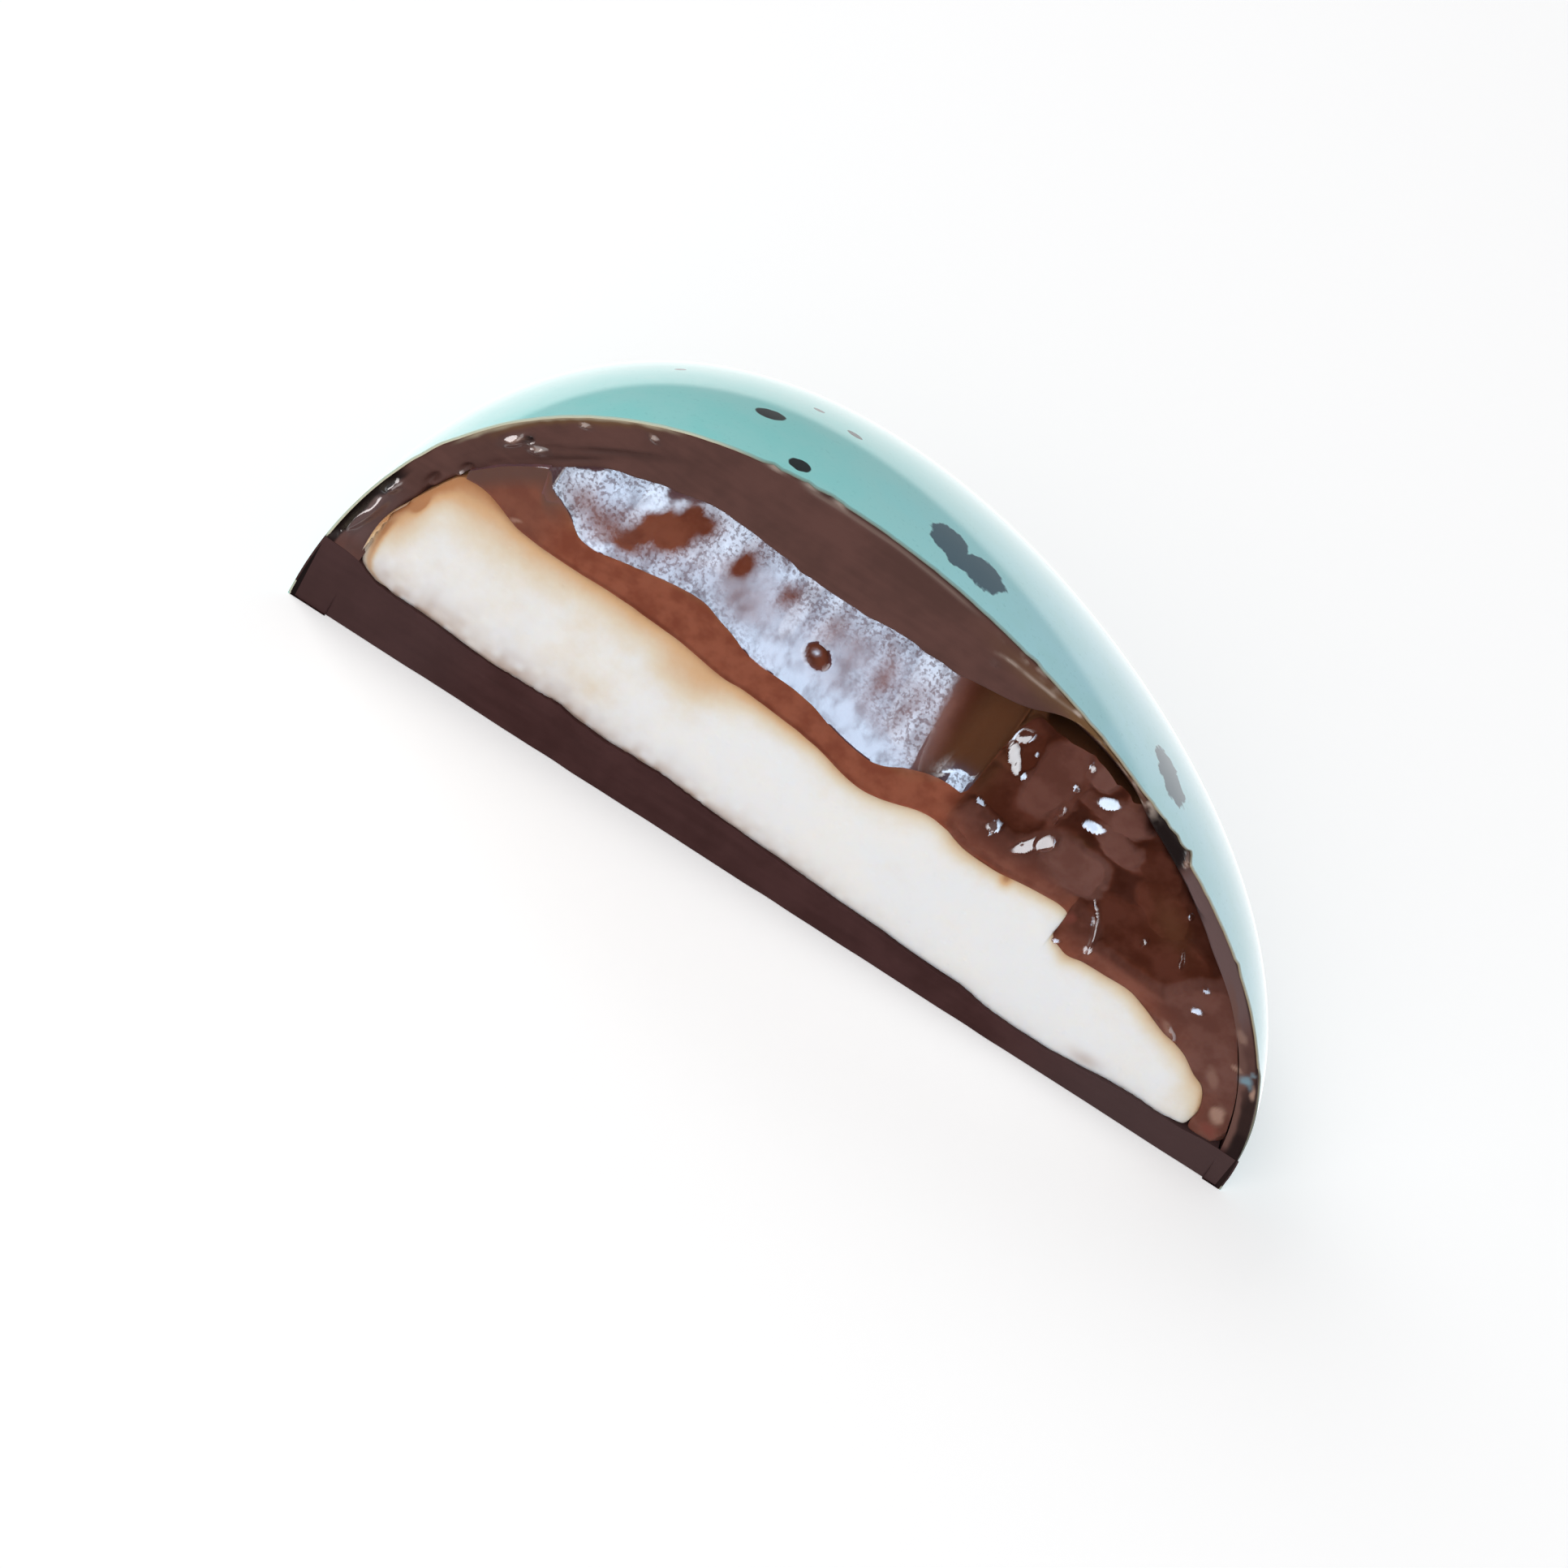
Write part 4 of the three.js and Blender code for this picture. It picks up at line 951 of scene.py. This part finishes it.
shine = np.maximum(shine + 0.25 * bell(seen_z - top_z, 0.5, 0.9) * band(u, 17, 19, 26, 27.5), 0)
# A small glint on the bubble: glossy, and tinted like the rest of the shine with its painted reflection.
shine = shine * (1 - in_bubble) + bell(np.hypot(u - BUBBLE_U + 0.12, seen_z - BUBBLE_SEEN), 0, 0.13)
shine = np.where(in_pocket, np.clip(shine, 0, 1), np.pad(wet * ease(low_u, 29, 30), face_only))
calm = np.clip(humps(u + 2 * stray, seen_z - stray, CALM), 0, 1)
layers = {"torn": torn, "smear_and_sheen": smear_and_sheen, "olive": olive, "deep": deep, "cocoa": cocoa, "shine": shine, "calm": calm,
          "rosy": rosy * in_pocket, "still": in_pocket + 0 * u,
          **{kind: mask * in_face for kind, mask in smudges_and_glints(u, seen_z).items()}}

syrup, nodes, shader = finish("soft caramel")
swirl = nodes.ramp(nodes.noise(1.3, 3), 0.36, 0.64)
strip = nodes.blend(swirl, (0.2, 0.057, 0.033), (0.268, 0.086, 0.051))
lumps = nodes.blend(swirl, (0.072, 0.019, 0.0105), (0.108, 0.033, 0.021))
# Smeared facets: chocolate smear, paler purple-brown with their painted sheen.
smeared = nodes.blend(swirl, (0.13, 0.054, 0.042), (0.162, 0.074, 0.06))
shine, still = nodes.layer("shine"), nodes.layer("still")
# In this cover, deep is painted shade, nearly black.
colour = nodes.cover(strip, {
    "torn": lumps, "olive": (0.106, 0.043, 0.021), "smear_and_sheen": smeared, "deep": (0.022, 0.006, 0.004),
    "cocoa": (0.124, 0.064, 0.051), **SMUDGE_AND_GLINT_COLOURS, "rosy": (0.3, 0.19, 0.18)})
# Painted reflection: where the pocket's still skin shines, its colour is tinted blue-grey like the light it mirrors.
colour = nodes.blend(nodes.times(nodes.times(shine, still), 0.6), colour, (0.115, 0.1, 0.15))
streaks = nodes.ramp(nodes.noise(0.7, 5, stretch=(1, 0.6, 0.6)), 0.32, 0.58, 0.55, 1)
specks = nodes.ramp(nodes.noise(0.17, 4), 0.4, 0.53, 0.36, 1)
specks = nodes.blend(nodes.layer("calm"), specks, (0.88, 0.88, 0.88))
grained = nodes.times(shine, nodes.times(streaks, specks))
on_face = nodes.times(shine, nodes.minus(1, still))
wrinkles = nodes.times(nodes.times(nodes.noise(0.2, 3), 0.7), still)
height = nodes.plus(wrinkles, nodes.times(nodes.noise(0.9, 3), 0.4))
nodes.feed(shader, {
    "Base Color": colour, "Roughness": nodes.ramp(nodes.layer("smear_and_sheen"), 0, 1, 0.28, 0.5), "Specular IOR Level": 0,
    "Coat Weight": nodes.larger(grained, on_face), "Coat Roughness": 0.09, "Coat IOR": 1.7,
    "Subsurface Weight": 0.25, "Subsurface Radius": (1, 0.35, 0.15), "Subsurface Scale": 0.0006,
    "Normal": nodes.bump(height, 0.03, 0.5)})
caramel = body("caramel_filling", loops, syrup, layers, crease=60)
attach(caramel, "root")
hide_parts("caramel")

# ----
# Table and light
# A plain white table. A large soft lamp stands in front and a window-like one
# to the left behind; a soft box and strips only show in the wet parts of the cut.
# ----

TABLE_HALF = 0.6  # metres, as everything in this section
TABLE_BELOW = 2e-5
SWEEP_UP = (-0.355, -0.105, 0.929)  # up direction of the slightly leaning bright sweep behind the table
LAMPS_AIM = Vector((0, 0, 0.008))
# Lamps: name, direction from the piece, distance, width, depth, radiance, colour, and the pieces in whose gloss alone
# the lamp shows (none of them: it lights everything).
LAMPS = [
    ("front_fill", (-0.25, -0.8, 0.55), 0.8, 0.7, 0.7, 2.15, (1, 0.99, 0.97), []),
    ("window", (-0.75, 0.27, 0.61), 0.7, 0.4, 0.4, 3, (1, 1, 0.99), []),
    ("soft_box", (0.03, -0.53, 0.85), 0.5, 0.7, 0.64, 13.8, (0.61, 0.79, 1), [caramel]),
    ("left_strip", (-0.9, -0.38, 0.16), 0.5, 0.42, 0.5, 8.5, (0.9, 0.95, 1), [caramel]),
    ("right_strip", (0.88, -0.4, 0.08), 0.5, 0.4, 0.55, 8.5, (0.9, 0.95, 1), [caramel]),
    ("left_glint", (-0.9, -0.38, 0.05), 0.5, 0.18, 0.4, 9, (1, 0.95, 0.95), [chocolate_wall]),
    ("top_glint", (0, -0.5, 0.87), 0.5, 0.3, 0.25, 7, (1, 0.95, 0.95), [chocolate_wall]),
]
scene = bpy.context.scene
scene.view_settings.view_transform = "Standard"

paper, nodes, shader = finish("white table")
nodes.feed(shader, {
    "Base Color": (0.9, 0.895, 0.895), "Roughness": 0.9, "Specular IOR Level": 0.2, "Emission Color": (1, 1, 1),
    "Emission Strength": 0.34})
mesh = bpy.data.meshes.new("table")
corners = [(x * TABLE_HALF, y * TABLE_HALF, -TABLE_BELOW) for x, y in [(-1, -1), (1, -1), (1, 1), (-1, 1)]]
mesh.from_pydata(corners, [], [(0, 1, 2, 3)])
mesh.materials.append(paper)
table = bpy.data.objects.new("table", mesh)
table.visible_glossy = False
scene.collection.objects.link(table)

scene.world = bpy.data.worlds.new("room")
scene.world.use_nodes = True
room = Nodes(scene.world.node_tree)
direction = room.add("ShaderNodeTexCoord")["Generated"]
_, backwards, upwards = room.axes(direction)
above = room.add("ShaderNodeVectorMath", {0: direction, 1: SWEEP_UP}, operation="DOT_PRODUCT")["Value"]
behind_table = room.blend(room.ramp(above, -0.05, 0.04), (1.28, 1.28, 1.28), (0.27, 0.275, 0.28))
in_front = room.blend(room.ramp(upwards, -0.1, 0.5), (0.1, 0.1, 0.105), (0.38, 0.39, 0.41))
around = room.blend(room.ramp(backwards, -0.3, 0.05), in_front, behind_table)
seen = room.add("ShaderNodeLightPath")["Is Camera Ray"]
room.feed(room.tree.nodes["Background"], {"Color": room.blend(seen, around, (1, 1, 1)), "Strength": 1})


def lamp(name, direction, distance, width, depth, radiance, colour, gloss_of):
    """Oblong soft lamp that faces the piece from a direction, of power pi * width * depth * radiance. With gloss_of it
    only shows in the gloss of those pieces."""
    data = bpy.data.lights.new(name, "AREA")
    data.shape = "RECTANGLE"
    data.size, data.size_y = width, depth
    data.energy = math.pi * width * depth * radiance
    data.color = colour
    made = bpy.data.objects.new(name, data)
    way = Vector(direction).normalized()
    made.location = way * distance + LAMPS_AIM
    made.rotation_euler = way.to_track_quat("Z", "Y").to_euler()
    made.visible_camera = False
    if gloss_of:
        made.visible_diffuse = False
        made.light_linking.receiver_collection = bpy.data.collections.new(name)
        for piece in gloss_of:
            made.light_linking.receiver_collection.objects.link(piece)
    scene.collection.objects.link(made)


for row in LAMPS:
    lamp(*row)

# ----
# Camera
# Looks down on the cut face from in front, turned on its axis by about 33
# degrees, so that the piece appears to lean.
# ----

CAMERA_AT = Vector((-0.00424, -0.15211, 0.12157))
CAMERA_AIM = Vector((-0.00148, -0.00499, 0.00184))
CAMERA_ROLL = math.radians(33.37)
data = bpy.data.cameras.new("camera")
data.lens = 95
data.sensor_width = 36
data.clip_start = 0.01
camera = bpy.data.objects.new("camera", data)
backwards = (CAMERA_AT - CAMERA_AIM).normalized()
level = Vector((0, 0, 1)).cross(backwards).normalized()
right = Matrix.Rotation(CAMERA_ROLL, 3, backwards) @ level
turned = Matrix((right, backwards.cross(right), backwards)).transposed().to_4x4()
camera.matrix_world = Matrix.Translation(CAMERA_AT) @ turned
scene.collection.objects.link(camera)
scene.camera = camera
